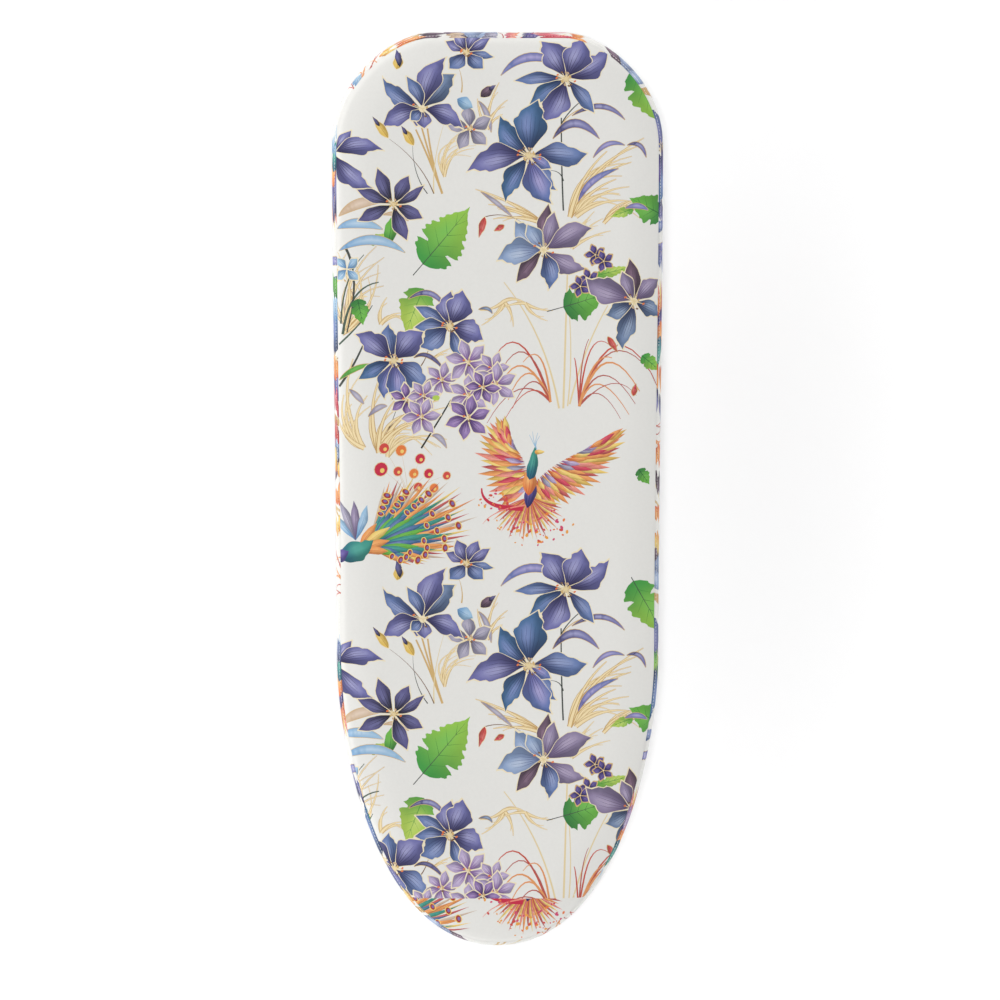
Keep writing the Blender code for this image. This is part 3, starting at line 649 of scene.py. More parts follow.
# Green leaves and long coloured blades.
LEAVES = (
    (leaf, (-70.4, 217), 48.4, 66, 43, "leaf", 0.04, 10, 14),
    (leaf, (-70, 194), -114, 44, 32, "lime", 0.05, 6), (leaf, (-132, 184), -78, 24, 17, "green", 0.0, 5),
    (leaf, (128, 401), -64, 58, 33, "leaf", 0.08, 7, 4), (leaf, (158, 262), 152, 36, 28, "green", 0.0, 6),
    (leaf, (128, 270), 200, 22, 10, "lime", 0.0, 5), (leaf, (62, 176), 14, 40, 33, "green", 0.08, 6, 16),
    (leaf, (92, 206), 14, 34, 10, "lime", 0.0, 8), (leaf, (136, 130), -40, 22, 14, "leaf", 0.0, 5),
    (leaf, (133, 22), -55, 17, 13, "green", 0.0, 5), (leaf, (-122, 238), 14, 22, 10, "lime", 0.1, 4),
    (petal, (-103, 236), 78, 24, 12, 0.1, "green", 0.5, 0.8, 0, 1),
    (blade, (-150, 229), (-118, 252), (-87, 228), 9, "sky"),
    (blade, (-152, 250), (-132, 262), (-108, 250), 9, "sky"),
    (blade, (-150, 262), (-132, 280), (-108, 276), 9, "tan"),
    (blade, (66, 402), (28, 428), (3, 396), 8, "lavender"),
    (blade, (52, 336), (72, 366), (96, 336), 8, "violet"),
    (blade, (70, 358), (100, 378), (120, 354), 5, "violet"),
    (blade, (76, 276), (84, 300), (114, 308), 6, "lavender"),
    (blade, (90, 318), (102, 338), (120, 330), 4.5, "lavender"),
    (blade, (122, 330), (136, 336), (140, 318), 4, "violet"),
    (blade, (-18, 372), (-8, 362), (-6, 342), 5, "grey"), (blade, (-16, 286), (0, 276), (14, 262), 4, "grey"),
    (blade, (-108, 264), (-92, 268), (-84, 258), 4, "tan"),
    (blade, (-84, 184), (-62, 200), (-48, 174), 5, "violet"),
    (blade, (-79, 128), (-66, 138), (-50, 116), 4, "dark"),
    (blade, (-150, 106), (-136, 120), (-118, 122), 4.5, "green"),
    (blade, (-140, 98), (-132, 92), (-126, 84), 5, "grey"),
    (blade, (-122, 72), (-112, 84), (-104, 82), 5, "grey"),
    (blade, (-62, 54), (-54, 56), (-48, 42), 5, "grey"),
    (blade, (-18, 174), (-8, 178), (-5, 170), 3, "slate"),
    (blade, (120, 270), (132, 276), (142, 268), 5, "lavender"),
)

# Flowers and buds.
BLOOMS = (
    (regular_flower, (-26, 346), 5, 20, 12, 20, "grey", "gold", 4),
    (petal, (-38, 374), -30, 16, 12, 0.0, "sky", 0.5, 0.8, 0, 1),
    (flower, (-70.7, 364.6), (
        (158, 42, 16, -0.1, "blue"), (49, 41, 22, 0.08, "slate"), (82, 47, 23, -0.1, "violet"),
        (100, 30, 12, 0.2, "blue"), (188, 37, 19, 0.12, "violet"), (-8, 37, 19, -0.12, "violet"),
        (250, 16, 14, 0.0, "violet"), (276, 17, 14, 0.0, "violet"),
        (225, 14, 10, 0.0, "blue")), "cream", 2),
    (flower, (-29.5, 418), (
        (152, 20, 9, 0.0, "violet"), (112, 22, 12, 0.0, "violet"), (62, 22, 12, 0.0, "violet"),
        (24, 24, 9, 0.1, "violet"), (-10, 24, 7, 0.0, "blue"), (-52, 20, 13, 0.1, "blue"),
        (-128, 20, 14, -0.1, "blue")), "gold", 8),
    (bud, (-95, 402), 78, 14, 9, "yellow"),
    (petal, (-92, 404), 96, 16, 6, 0.1, "dark", 0.5, 0.8, 0, 0),
    (bud, (-103, 337), 126, 22, 7.5, "yellow"), (bud, (-79, 330), 122, 19, 8, "yellow"),
    (bud, (-16, 376), 38, 16, 9, "burgundy", "dark"),
    (flower, (64.4, 393), (
        (207, 38, 14, 0.1, "teal"), (174, 44, 11, 0.1, "blue"), (-44, 38, 13, -0.08, "blue"),
        (20, 44, 21, 0.08, "violet"), (252, 42, 24, -0.05, "violet"), (112, 38, 26, 0.04, "violet"),
        (64, 38, 26, -0.04, "violet")), "orange", 9),
    (flower, (29.6, 320), (
        (138, 42, 20, -0.05, "teal"), (231, 44, 18, 0.05, "teal"), (10, 50, 22, -0.2, "blue"),
        (-52, 38, 15, -0.1, "blue"), (178, 53, 25, 0.1, "violet"), (86, 49, 30, 0.04, "teal"),
        (-30, 22, 10, 0.0, "lavender"), (282, 45, 24, 0.06, "lavender")), "orange", 11),
    (flower, (-156, 322), (
        (50, 26, 10, 0.0, "violet"), (24, 42, 18, -0.15, "violet"),
        (-58, 44, 20, 0.12, "violet")), "cream", 0),
    (flower, (-98, 274), (
        (205, 34, 12, 0.0, "dark"), (158, 34, 11, 0.0, "dark"), (122, 34, 13, -0.1, "dark"),
        (62, 28, 13, 0.0, "dark"), (16, 30, 9, 0.2, "dark"), (-26, 28, 12, 0.0, "dark"),
        (-78, 33, 13, 0.1, "dark")), "gold", 6),
    (regular_flower, (-142, 212), 4, 13, 8, 40, "sky", "cream", 0),
    (flower, (43.3, 230.6), (
        (222, 36, 13, 0.1, "burgundy"), (92, 40, 13, -0.1, "burgundy"), (66, 34, 14, 0.1, "mauve"),
        (28, 46, 21, 0.06, "mauve"), (-40, 39, 19, 0.1, "mauve"), (-70, 34, 17, -0.05, "blue"),
        (150, 34, 22, -0.1, "pale"), (180, 40, 24, 0.05, "pale"), (122, 26, 14, 0.0, "pale")), "cream", 6),
    (bud, (-12, 262), -106, 18, 6.5, "red", "red"), (bud, (6, 254), -150, 9, 5, "red", "crimson"),
    *((regular_flower, centre, 5, 9, 5.5, 30, "indigo", "cream", 0)
      for centre in ((92, 226), (100, 220), (86, 203), (78, 196))),
    (flower, (128.7, 181.7), (
        (40, 29, 16, 0.1, "mauve"), (88, 37, 13, 0.1, "burgundy"), (112, 28, 12, 0.0, "mauve"),
        (156, 46, 24, 0.08, "mauve"), (-24, 26, 15, 0.0, "slate"), (214, 27, 16, 0.0, "slate"),
        (-102, 43, 17, -0.12, "slate")), "cream", 6),
    (flower, (-45.3, 158.3), (
        (142, 34, 11, 0.1, "blue"), (174, 30, 13, 0.1, "blue"), (218, 32, 20, 0.06, "blue"),
        (-70, 30, 10, -0.05, "blue"), (-14, 31, 23, 0.0, "violet"), (96, 30, 20, 0.0, "violet"),
        (62, 33, 24, 0.0, "violet")), "orange", 9),
    (flower, (-98, 125.4), (
        (200, 34, 13, 0.1, "teal"), (106, 32, 17, 0.0, "blue"), (137, 40, 21, 0.0, "violet"),
        (48, 36, 25, 0.06, "violet"), (-30, 39, 21, -0.12, "blue"), (-112, 34, 15, 0.0, "lavender"),
        (-84, 34, 17, 0.0, "lavender")), "orange", 10),
    *((regular_flower, centre, 6, size, 0.5 * size, turn, tone, "cream", 3) for centre, size, turn, tone in (
        ((-53, 107), 16, 10, "orchid"), ((-28, 124), 20, 40, "orchid"), ((-5, 118), 15, 0, "orchid"),
        ((-28, 92), 18, 22, "orchid"), ((-86, 88), 15, 30, "deep"), ((-70, 92), 14, 60, "orchid"),
        ((-2, 103), 19, 18, "orchid"), ((-14, 100), 15, 50, "deep"), ((-72, 72), 17, 0, "orchid"),
        ((-28, 71), 20, 12, "deep"))),
    (spot, (-58, 90), 2.6, TONES["lime"][1], 1.4),
)


def reed_arcs():
    """Red and orange arching blades with two buds."""
    blades = [(stroke, foot, *bend_and_end, width, colour, 0.3)
              for foot, rows in REEDS for *bend_and_end, colour, width in rows]
    buds = ((bud, (104, 148), -58, 15, 5.5, "red", "red"), (bud, (128, 92), 78, 10, 5, "red", "crimson"))
    return drawn((*blades, *buds))


def seed_heads():
    """Round pods with a pale rim above the fan of eyed feathers."""
    made = []
    for centre, radius, tone in (
            ((-110, 22), 6.0, "crimson"), ((-91, 40), 4.8, "orange"), ((-107, 42), 4.6, "red"),
            ((-94, 20), 4.0, "red"), ((-79, 18), 4.2, "orange"), ((-65, 18), 4.2, "crimson"),
            ((-73, 32), 4.4, "crimson"), ((-75, 5), 4.0, "red"), ((-48, 16), 3.5, "red"),
            ((-60, 4), 4.0, "orange")):
        made += stroke((-84, -14), (-84, 6), centre, 0.5, GOLD)
        made += spot(centre, radius + 0.7, PALE_GOLD, 1.1, 60, 12)
        made += spot(centre, radius, TONES[tone][0], 1.1, 60, 12)
        gleam = (centre[0] + 0.2 * radius, centre[1] - 0.2 * radius)
        made += spot(gleam, 0.36 * radius, TONES["amber"][1], 1.1, 60)
    return made


def eyed_fan():
    """A fan of green-shafted feathers with round eyes, spreading from a small crested bird."""
    lengths = np.array((56, 62, 68, 74, 82, 90, 96, 98, 94, 88, 78, 66, 52, 40))
    base = np.array((-122.0, -52.0))
    made = feather_fan(base, 72, -26, lengths, 3.6, ("tan", "orange", "amber", "red"), 0.05, 1, 34)
    made += feather_fan(base, 68, -22, 0.84 * lengths, 4.6, ("peacock", "teal", "orange"), 0.0, 1, 24)
    made += feather_fan(base, 62, -16, 0.6 * lengths, 6, ("peacock", "teal", "green"), 0.0, 1, 15)
    for index, length in enumerate(lengths):
        angle = 70 - 92 * index / (len(lengths) - 1)
        ahead = direction(angle)
        for row, reach in enumerate((0.93, 0.82, 0.71, 0.6)):
            if index % 2 and index < 6 or index > 5 and (row + index) % 2:
                continue
            at = base + ahead * length * reach
            made += spot(at, 4.6 - 0.3 * row, TONES["amber"][1], 0.74, angle)
            made += spot(at, 3.8 - 0.3 * row, TONES["red"][3], 0.66, angle)
            made += spot(at + 0.5 * ahead, 1.9 - 0.15 * row, TONES["indigo"][2], 0.8, angle, 6)
    made += feather_fan((-134, -46), 128, 66, (30, 36, 38, 32), 8, ("sky", "grey", "mauve"), 0.1, 1)
    made += feather_fan((-132, -56), 62, 6, (30, 34, 32, 26), 8, ("orange", "amber", "orange"), -0.1, 1)
    made += petal((-150, -62), 18, 34, 20, 0.0, "peacock", 0.5, 0.6, 0, 0)
    made += petal((-157, -66), 30, 18, 12, 0.0, "indigo", 0.45, 0.6, 0, 0)
    return made


def long_winged_bird():
    """A bird in flight with feathered wings, a fan tail and one curling plume."""
    warm = ("orange", "red", "amber", "pink", "orange", "yellow")
    inner = ("pink", "amber", "orange", "crimson")
    short = ("orchid", "orange", "amber", "grey")
    made = []
    for share, width, tones, count in ((1.0, 6.0, warm, 25), (0.72, 5.2, inner, 20), (0.42, 4.8, short, 14)):
        right = share * np.array((24, 33, 42, 44, 38))
        left = share * np.array((30, 40, 42, 36, 26))
        made += wing((33, 7), (47, 27), (86, 42), (-84, -54, -27, -2, 24), right, width, tones, count, 0.11)
        made += wing((30, 8), (28, 36), (13, 44), (226, 200, 172, 142, 110), left, width, tones, count - 4,
                     -0.13)
    made += feather_fan((31, -4), 200, 340, (36, 40, 39, 38, 37, 35, 32, 28), 2.4,
                        ("pink", "orange", "red", "amber"), 0.10, 0, 24)
    made += stroke((24, -15), (-16, -16), (-15, 4), 5.5, TONES["crimson"][0], 0.25)
    made += stroke((27, -12), (-4, -16), (-14, -30), 1.6, TONES["pink"][1], 0.2)
    made += drawn((
        (petal, (28, -15), 78, 30, 11, 0.0, "indigo", 0.5, 0.7, 0, 3),
        (petal, (29, -3), 84, 26, 13, 0.0, "orange", 0.5, 0.7, 0, 3),
        (petal, (30, 12), 74, 31, 10, 0.1, "peacock", 0.35, 0.7, 0, 3),
        (petal, (35, 38), 10, 9, 4.5, -0.1, "amber", 0.35, 0.6, 0, 0)))
    for end in ((30, 55), (33, 58), (38, 57), (40, 54)):
        made += stroke((37, 41), (34, 46), end, 0.9, TONES["sky"][1], 0.4, 3)
    draw = np.random.default_rng(SPATTER_SEED)
    for _ in range(SPATTER_DOTS):
        angle = draw.uniform(170, 330)
        reach = draw.uniform(22, 50)
        at = np.array((31, -4)) + direction(angle) * reach
        tone = ("orange", "red", "amber", "pink")[draw.integers(4)]
        made += spot(at, draw.uniform(0.5, 1.6), TONES[tone][0], 1.5, draw.uniform(0, 180), 6)
    return made


def birds():
    """The pods and the two birds of the pattern, in painter's order."""
    return seed_heads() + eyed_fan() + long_winged_bird()


# ---------------------------------------------------------------- painting a piece of cloth

BEYOND_RIM = 0.004
SAME_POINT = 1e-6


class Placed:
    """A shape of the print laid on a cloth: turned and shifted, in metres."""

    def __init__(self, shape, shift=(0.0, 0.0), turn=0.0):
        ahead = direction(turn)
        self.turn = np.stack((ahead, left_of(ahead)))
        self.shift = np.array(shift, float)
        self.outline = shape.outline * MM @ self.turn + self.shift
        self.inner = shape.inner * MM @ self.turn + self.shift
        self.shape = shape

    def colour_at(self, points):
        """Colours at points on the cloth."""
        return self.shape.colour_at((points - self.shift) @ self.turn.T / MM)

    def touches(self, low, high):
        """Whether the shape's box meets another one."""
        return bool(np.all(self.outline.max(axis=0) > low) and np.all(self.outline.min(axis=0) < high))


# It stands in for the shapes on the other side of the join, far from any cloth.
NOTHING = Placed(Shape(((0, 0), (0, 1), (1, 0)), None), (9.0, 9.0))


def inside_polygon(points, outline):
    """Which points lie inside a closed outline."""
    after = np.roll(outline, -1, axis=0)
    crossings = np.zeros(len(points), int)
    for first, second in zip(outline, after):
        spans = (first[1] > points[:, 1]) != (second[1] > points[:, 1])
        if not spans.any():
            continue
        where = points[spans]
        at = first[0] + (where[:, 1] - first[1]) * (second[0] - first[0]) / (second[1] - first[1])
        crossings[spans] += where[:, 0] < at
    return crossings % 2 == 1


def loop_edges(start, count):
    """Edges that close a run of points."""
    return [(start + k, start + (k + 1) % count) for k in range(count)]


def points_in_box(points, shapes):
    """Each shape with the numbers of the points that lie inside its box."""
    order = np.argsort(points[:, 0])
    sorted_x = points[order, 0]
    for shape in shapes:
        low, high = shape.outline.min(axis=0), shape.outline.max(axis=0)
        near = order[np.searchsorted(sorted_x, low[0]):np.searchsorted(sorted_x, high[0])]
        yield shape, near[(points[near, 1] > low[1]) & (points[near, 1] < high[1])]


def covered_points(points, owners, shapes):
    """Which points of the shapes' outlines a later shape covers."""
    covered = np.zeros(len(points), bool)
    for index, (shape, near) in enumerate(points_in_box(points, shapes)):
        near = near[(owners[near] < index) & ~covered[near]]
        if len(near):
            covered[near[inside_polygon(points[near], shape.outline)]] = True
    return covered


def visible_lines(shapes, is_lower, join, low, high):
    """Points and edges of the shapes' outlines that nothing later covers."""
    points = np.vstack([np.vstack((s.outline, s.inner)) for s in shapes])
    owners = np.repeat(np.arange(len(shapes)), [len(s.outline) + len(s.inner) for s in shapes])
    lower = is_lower[1:][owners]
    if join is None:
        covered = covered_points(points, owners, shapes)
    else:
        covered = np.where(lower, points[:, 1] > join, points[:, 1] < join)
        for mine in (lower, ~lower):
            index = np.flatnonzero(mine)
            same_side = is_lower[1:] == lower[index[0]]
            chosen = [shape if same else NOTHING for shape, same in zip(shapes, same_side)]
            covered[index] |= covered_points(points[index], owners[index], chosen)
    covered |= np.any((points < low - BEYOND_RIM) | (points > high + BEYOND_RIM), axis=1)
    edges, count = [], 0
    for shape in shapes:
        edges += [e for e in loop_edges(count, len(shape.outline)) if not (covered[e[0]] and covered[e[1]])]
        count += len(shape.outline) + len(shape.inner)
    needed = ~covered
    needed[np.array(edges).ravel()] = True
    renumber = np.cumsum(needed) - 1
    return points[needed], [(int(renumber[a]), int(renumber[b])) for a, b in edges]


def top_shapes(middle, shapes, is_lower, join):
    """For each triangle's middle, the last shape that covers it, or 0 for bare cloth."""
    owner = np.zeros(len(middle), int)
    for index, (shape, near) in enumerate(points_in_box(middle, shapes), start=1):
        if join is not None:
            near = near[(middle[near, 1] < join) == is_lower[index]]
        if len(near):
            owner[near[inside_polygon(middle[near], shape.outline)]] = index
    return owner


def corner_colours(flat, tris, owner, shapes):
    """One colour for each corner of each triangle, from the shape that owns the triangle."""
    corner = flat[tris].reshape(-1, 2)
    corner_owner = np.repeat(owner, 3)
    colours = np.repeat(GROUND[None, :], len(corner), axis=0)
    order = np.argsort(corner_owner, kind="stable")
    bounds = np.searchsorted(corner_owner[order], np.arange(len(shapes) + 2))
    for index, shape in enumerate(shapes, start=1):
        mine = order[bounds[index]:bounds[index + 1]]
        if len(mine):
            colours[mine] = shape.colour_at(corner[mine])
    return colours


def paint_cloth(rim, placed, extra, join=None):
    """Cut a flat cloth into triangles along its print.

    The rim is the cloth's outline and the placed shapes lie on it in painter's order.  The join is a line
    across the cloth, below which only the shapes of the second list are printed.  Gives the flat points, the
    triangles and one colour for each corner.
    """
    low, high = rim.min(axis=0), rim.max(axis=0)
    upper, lower = ([s for s in group if s.touches(low, high)] for group in placed)
    shapes = upper + lower
    is_lower = np.arange(len(shapes) + 1) > len(upper)
    lines_at, lines = visible_lines(shapes, is_lower, join, low, high)
    verts, edges = [rim, lines_at, extra], loop_edges(0, len(rim))
    edges += [(a + len(rim), b + len(rim)) for a, b in lines]
    count = len(rim) + len(lines_at) + len(extra)
    if join is not None:
        verts.append(np.array(((low[0], join), (high[0], join))))
        edges.append((count, count + 1))
    cut = geometry.delaunay_2d_cdt([Vector(v) for v in np.vstack(verts)], edges, [], 0, SAME_POINT, False)
    flat = np.array([tuple(v) for v in cut[0]])
    tris = np.array(cut[2])
    middle = flat[tris].mean(axis=1)
    kept = inside_polygon(middle, rim)
    tris, middle = tris[kept], middle[kept]
    owner = top_shapes(middle, shapes, is_lower, join)
    used, compact = np.unique(tris, return_inverse=True)
    flat = flat[used]
    tris = compact.reshape(-1, 3)
    first, second, third = (flat[tris[:, k]] for k in range(3))
    a, b = second - first, third - first
    flip = a[:, 0] * b[:, 1] - a[:, 1] * b[:, 0] < 0
    tris[flip] = tris[flip][:, ::-1]
    return flat, tris, corner_colours(flat, tris, owner, shapes)


def cloth_piece(name, verts, normals, tris, colours, material):
    """Turn painted cloth into an object with its print in a colour attribute."""
    piece = new_piece(name, verts, tris, material)
    layer = piece.data.color_attributes.new("print", "FLOAT_COLOR", "CORNER")
    packed = np.ones((len(colours), 4), np.float32)
    packed[:, :3] = np.clip(colours, 0.0, 1.0)
    layer.data.foreach_set("color", packed.ravel())
    piece.data.normals_split_custom_set_from_vertices([tuple(n) for n in normals])
    return piece


# ---------------------------------------------------------------- materials

THREAD_PITCH = 0.55 * MM
BRAID_PITCH = 0.8 * MM
# Blender's band texture repeats every pi / 10 units at scale 1.
WAVE_PERIOD = math.pi / 10


def node_material(name, roughness, metallic=0.0):
    """A Principled material with its node tree, its shader and the object's own coordinates."""
    material = bpy.data.materials.new(name)
    material.use_nodes = True
    tree = material.node_tree
    shader = tree.nodes["Principled BSDF"]
    shader.inputs["Roughness"].default_value = roughness
    shader.inputs["Metallic"].default_value = metallic
    where = tree.nodes.new("ShaderNodeTexCoord").outputs["Object"]
    return material, tree, shader, where


def add_node(tree, kind, inputs=None, **settings):
    """Add one node, set its properties and its inputs' values or links."""
    node = tree.nodes.new(kind)
    for key, value in settings.items():
        setattr(node, key, value)
    for key, value in (inputs or {}).items():
        if isinstance(value, bpy.types.NodeSocket):
            tree.links.new(value, node.inputs[key])
        else:
            node.inputs[key].default_value = value
    return node


def noise(tree, where, scale, detail, distortion=0.0):
    """Cloudy noise between 0 and 1."""
    return add_node(tree, "ShaderNodeTexNoise", {"Vector": where, "Scale": scale, "Detail": detail,
                                                 "Distortion": distortion}).outputs["Fac"]


def spread(tree, value, low, high, start=0.0, end=1.0):
    """Map a value from one range to another."""
    return add_node(tree, "ShaderNodeMapRange", {"Value": value, "From Min": start, "From Max": end,
                                                 "To Min": low, "To Max": high}).outputs["Result"]


def combine(tree, operation, first, second):
    """One sum, product or other step of arithmetic."""
    return add_node(tree, "ShaderNodeMath", {0: first, 1: second}, operation=operation).outputs[0]


def add_bump(tree, shader, height, strength, distance):
    """Feed a height into the shader's normal."""
    bump = add_node(tree, "ShaderNodeBump", {"Strength": strength, "Distance": distance, "Height": height})
    tree.links.new(bump.outputs["Normal"], shader.inputs["Normal"])


def two_tone(tree, shader, share, first, second):
    """Colour the shader with two colours mixed by a share."""
    node = add_node(tree, "ShaderNodeMix", {"Factor": share}, data_type="RGBA")
    node.inputs["A"].default_value = (*first, 1.0)
    node.inputs["B"].default_value = (*second, 1.0)
    tree.links.new(node.outputs["Result"], shader.inputs["Base Color"])


def threads(tree, where, axis, pitch):
    """Parallel threads of one pitch, running across an axis."""
    inputs = {"Vector": where, "Scale": WAVE_PERIOD / pitch, "Distortion": 0.6, "Detail": 1.0,
              "Detail Scale": 2.0}
    return add_node(tree, "ShaderNodeTexWave", inputs, wave_type="BANDS", bands_direction=axis).outputs["Fac"]


def printed_cotton():
    """Plain-woven cotton: the print, its threads and a soft nap, with painted shade between the threads."""
    material, tree, shader, where = node_material("printed_cotton", 0.78)
    shader.inputs["Sheen Weight"].default_value = 0.12
    shader.inputs["Sheen Roughness"].default_value = 0.6
    shader.inputs["Specular IOR Level"].default_value = 0.3
    weft = threads(tree, where, "X", THREAD_PITCH)
    warp = threads(tree, where, "Y", THREAD_PITCH)
    grain = combine(tree, "MULTIPLY", combine(tree, "MAXIMUM", weft, warp), noise(tree, where, 420.0, 3.0))
    wash = spread(tree, noise(tree, where, 9.0, 2.0), 0.975, 1.015)
    # The cloth's tone, with painted shade: the print is up to about a tenth darker where the weave lies low.
    shade = combine(tree, "MULTIPLY", spread(tree, grain, 0.745, 0.818), wash)
    ink = add_node(tree, "ShaderNodeAttribute", attribute_name="print").outputs["Color"]
    shaded = add_node(tree, "ShaderNodeVectorMath", {0: ink, "Scale": shade}, operation="SCALE")
    tree.links.new(shaded.outputs[0], shader.inputs["Base Color"])
    add_bump(tree, shader, grain, 0.35, 0.12 * MM)
    return material


def powder_coat(name, colour, roughness):
    """Baked powder coat: slightly pebbled, with faint colour drift."""
    material, tree, shader, where = node_material(name, roughness)
    drift = noise(tree, where, 14.0, 3.0)
    two_tone(tree, shader, drift, 0.93 * colour, np.minimum(1.04 * colour, 1.0))
    tree.links.new(spread(tree, drift, roughness - 0.06, roughness + 0.08), shader.inputs["Roughness"])
    add_bump(tree, shader, noise(tree, where, 900.0, 2.0), 0.25, 0.1 * MM)
    return material


def zinc_steel():
    """Zinc-plated steel with a fine grain and dull patches."""
    material, tree, shader, where = node_material("zinc_steel", 0.34, 1.0)
    cloud = noise(tree, where, 160.0, 4.0)
    two_tone(tree, shader, cloud, srgb(176, 178, 180), srgb(216, 217, 219))
    tree.links.new(spread(tree, cloud, 0.24, 0.46), shader.inputs["Roughness"])
    add_bump(tree, shader, noise(tree, where, 2400.0, 2.0), 0.15, 0.04 * MM)
    return material


def moulded(name, colour, roughness, grain):
    """Moulded rubber or plastic with a fine spark-eroded grain."""
    material, tree, shader, where = node_material(name, roughness)
    two_tone(tree, shader, noise(tree, where, 60.0, 2.0), 0.9 * colour, np.minimum(1.08 * colour, 1.0))
    add_bump(tree, shader, noise(tree, where, 1500.0, 3.0), grain, 0.08 * MM)
    return material


def fibres(name, dark, light, roughness):
    """Matted fibres with a fuzzy surface: tone that varies among the fibres, with painted shade where the
    surface lies low.
    """
    material, tree, shader, where = node_material(name, roughness)
    shader.inputs["Sheen Weight"].default_value = 0.25
    tangle = noise(tree, where, 700.0, 6.0, 2.0)
    # Painted shade: the colour is darkest where the tangle noise that raises the bump is lowest.
    two_tone(tree, shader, tangle, dark, light)
    add_bump(tree, shader, tangle, 0.6, 0.4 * MM)
    return material


def open_foam():
    """Cut polyurethane foam with its cells, with painted shade in their pits."""
    material, tree, shader, where = node_material("open_foam", 0.95)
    cells = add_node(tree, "ShaderNodeTexVoronoi", {"Vector": where, "Scale": 900.0}).outputs["Distance"]
    # Painted shade: the colour is darkest in the pit of each cell, where the bump lies lowest.
    two_tone(tree, shader, cells, srgb(196, 188, 160), srgb(240, 234, 212))
    add_bump(tree, shader, cells, 0.7, 0.3 * MM)
    return material


def braided_elastic():
    """Round elastic cord with a crossed braid, with painted shade in its grooves."""
    material, tree, shader, where = node_material("braided_elastic", 0.8)
    braid = threads(tree, where, "DIAGONAL", BRAID_PITCH)
    # Painted shade: the colour is darkest in the braid's grooves, where the bump lies lowest.
    two_tone(tree, shader, braid, srgb(206, 204, 198), srgb(240, 239, 234))
    add_bump(tree, shader, braid, 0.5, 0.2 * MM)
    return material


COTTON = printed_cotton()
COAT = powder_coat("grey_powder_coat", srgb(178, 181, 186), 0.42)
MESH_COAT = powder_coat("mesh_powder_coat", srgb(172, 174, 178), 0.5)
ZINC = zinc_steel()
RUBBER = moulded("foot_rubber", srgb(42, 42, 44), 0.72, 0.4)
PLASTIC = moulded("clip_plastic", srgb(232, 232, 228), 0.42, 0.15)
FELT = fibres("grey_felt", srgb(140, 140, 138), srgb(206, 205, 202), 0.95)
FOAM = open_foam()
ELASTIC = braided_elastic()
THREAD = fibres("sewing_thread", srgb(206, 205, 200), srgb(238, 237, 232), 0.7)


# ---------------------------------------------------------------- camera, lights and floor

CAMERA_TILT = math.radians(8.0)
CAMERA_DISTANCE = 20.0
CAMERA_LENS = 763.0
CAMERA_AIM = Vector((0.0023, -0.0072, TOP_Z))
HORIZON_LIGHT = 3.18
ZENITH_LIGHT = 0.114
# How much more light comes from the left above the horizon.
SIDE_BIAS = 0.9
SUN_LIGHT = 1.55
SUN_SOFTNESS = math.radians(8.0)
FLOOR_HALF = 6.0
FLOOR_CELLS = 24


def make_camera():
    """A long lens, tipped a little towards the square end, with the board's length upright in the frame."""
    data = bpy.data.cameras.new("camera")
    data.lens = CAMERA_LENS
    data.sensor_width = 36.0
    data.clip_end = 100.0
    camera = bpy.data.objects.new("camera", data)
    bpy.context.scene.collection.objects.link(camera)
    back = Vector((0.0, math.sin(CAMERA_TILT), math.cos(CAMERA_TILT)))
    camera.location = CAMERA_AIM + back * CAMERA_DISTANCE
    camera.rotation_euler = (-CAMERA_TILT, 0.0, 0.0)
    bpy.context.scene.camera = camera


def make_lights():
    """Studio light: a dome that is brightest near the horizon, and a soft sun along the camera's view."""
    world = bpy.data.worlds.new("studio")
    bpy.context.scene.world = world
    world.use_nodes = True
    tree = world.node_tree
    background = tree.nodes["Background"]
    where = tree.nodes.new("ShaderNodeTexCoord").outputs["Generated"]
    ray = add_node(tree, "ShaderNodeSeparateXYZ", {"Vector": where}).outputs
    rise = spread(tree, ray["Z"], HORIZON_LIGHT, ZENITH_LIGHT, 0.05, 0.75)
    bias = combine(tree, "MULTIPLY", ray["X"], spread(tree, ray["Z"], 0.0, SIDE_BIAS, 0.1, 0.4))
    strength = combine(tree, "MULTIPLY", rise, combine(tree, "SUBTRACT", 1.0, bias))
    tree.links.new(strength, background.inputs["Strength"])
    background.inputs["Color"].default_value = (1.0, 1.0, 1.0, 1.0)
    data = bpy.data.lights.new("sun", "SUN")
    data.energy = SUN_LIGHT
    data.angle = SUN_SOFTNESS
    lamp = bpy.data.objects.new("sun", data)
    lamp.rotation_euler = (-CAMERA_TILT, 0.0, 0.0)
    bpy.context.scene.collection.objects.link(lamp)
    bpy.context.scene.view_settings.view_transform = "Standard"


def make_floor():
    """A wide pale floor."""
    material, tree, shader, where = node_material("floor_paint", 0.9)
    two_tone(tree, shader, noise(tree, where, 1.5, 2.0), (0.93, 0.93, 0.93), (0.95, 0.95, 0.95))
    builder = bmesh.new()
    bmesh.ops.create_grid(builder, x_segments=FLOOR_CELLS, y_segments=FLOOR_CELLS, size=FLOOR_HALF)
    piece_from(builder, "floor", material)


# ---------------------------------------------------------------- the top panel of the cover

RIM_POINTS = 960
FIELD_SPACING = 9 * MM
FIELD_INSET = 7 * MM
ROW_SHARE = 0.87
EDGE_ROWS = 5
EXTRA_ROW_INSET = 4 * MM
SEAM_DIP = 0.35 * MM
SEAM_DIP_RUN = 1.6 * MM
SWELL_ROOM = 0.25 * MM
SWELL_FADE = 20 * MM
# Faint waves of the padding: height (mm), turns along x and y, and phase.
SWELLS = ((0.10, 31.0, 12.0, 0.3), (0.08, -17.0, 26.0, 1.7), (0.05, 47.0, 39.0, 2.9))


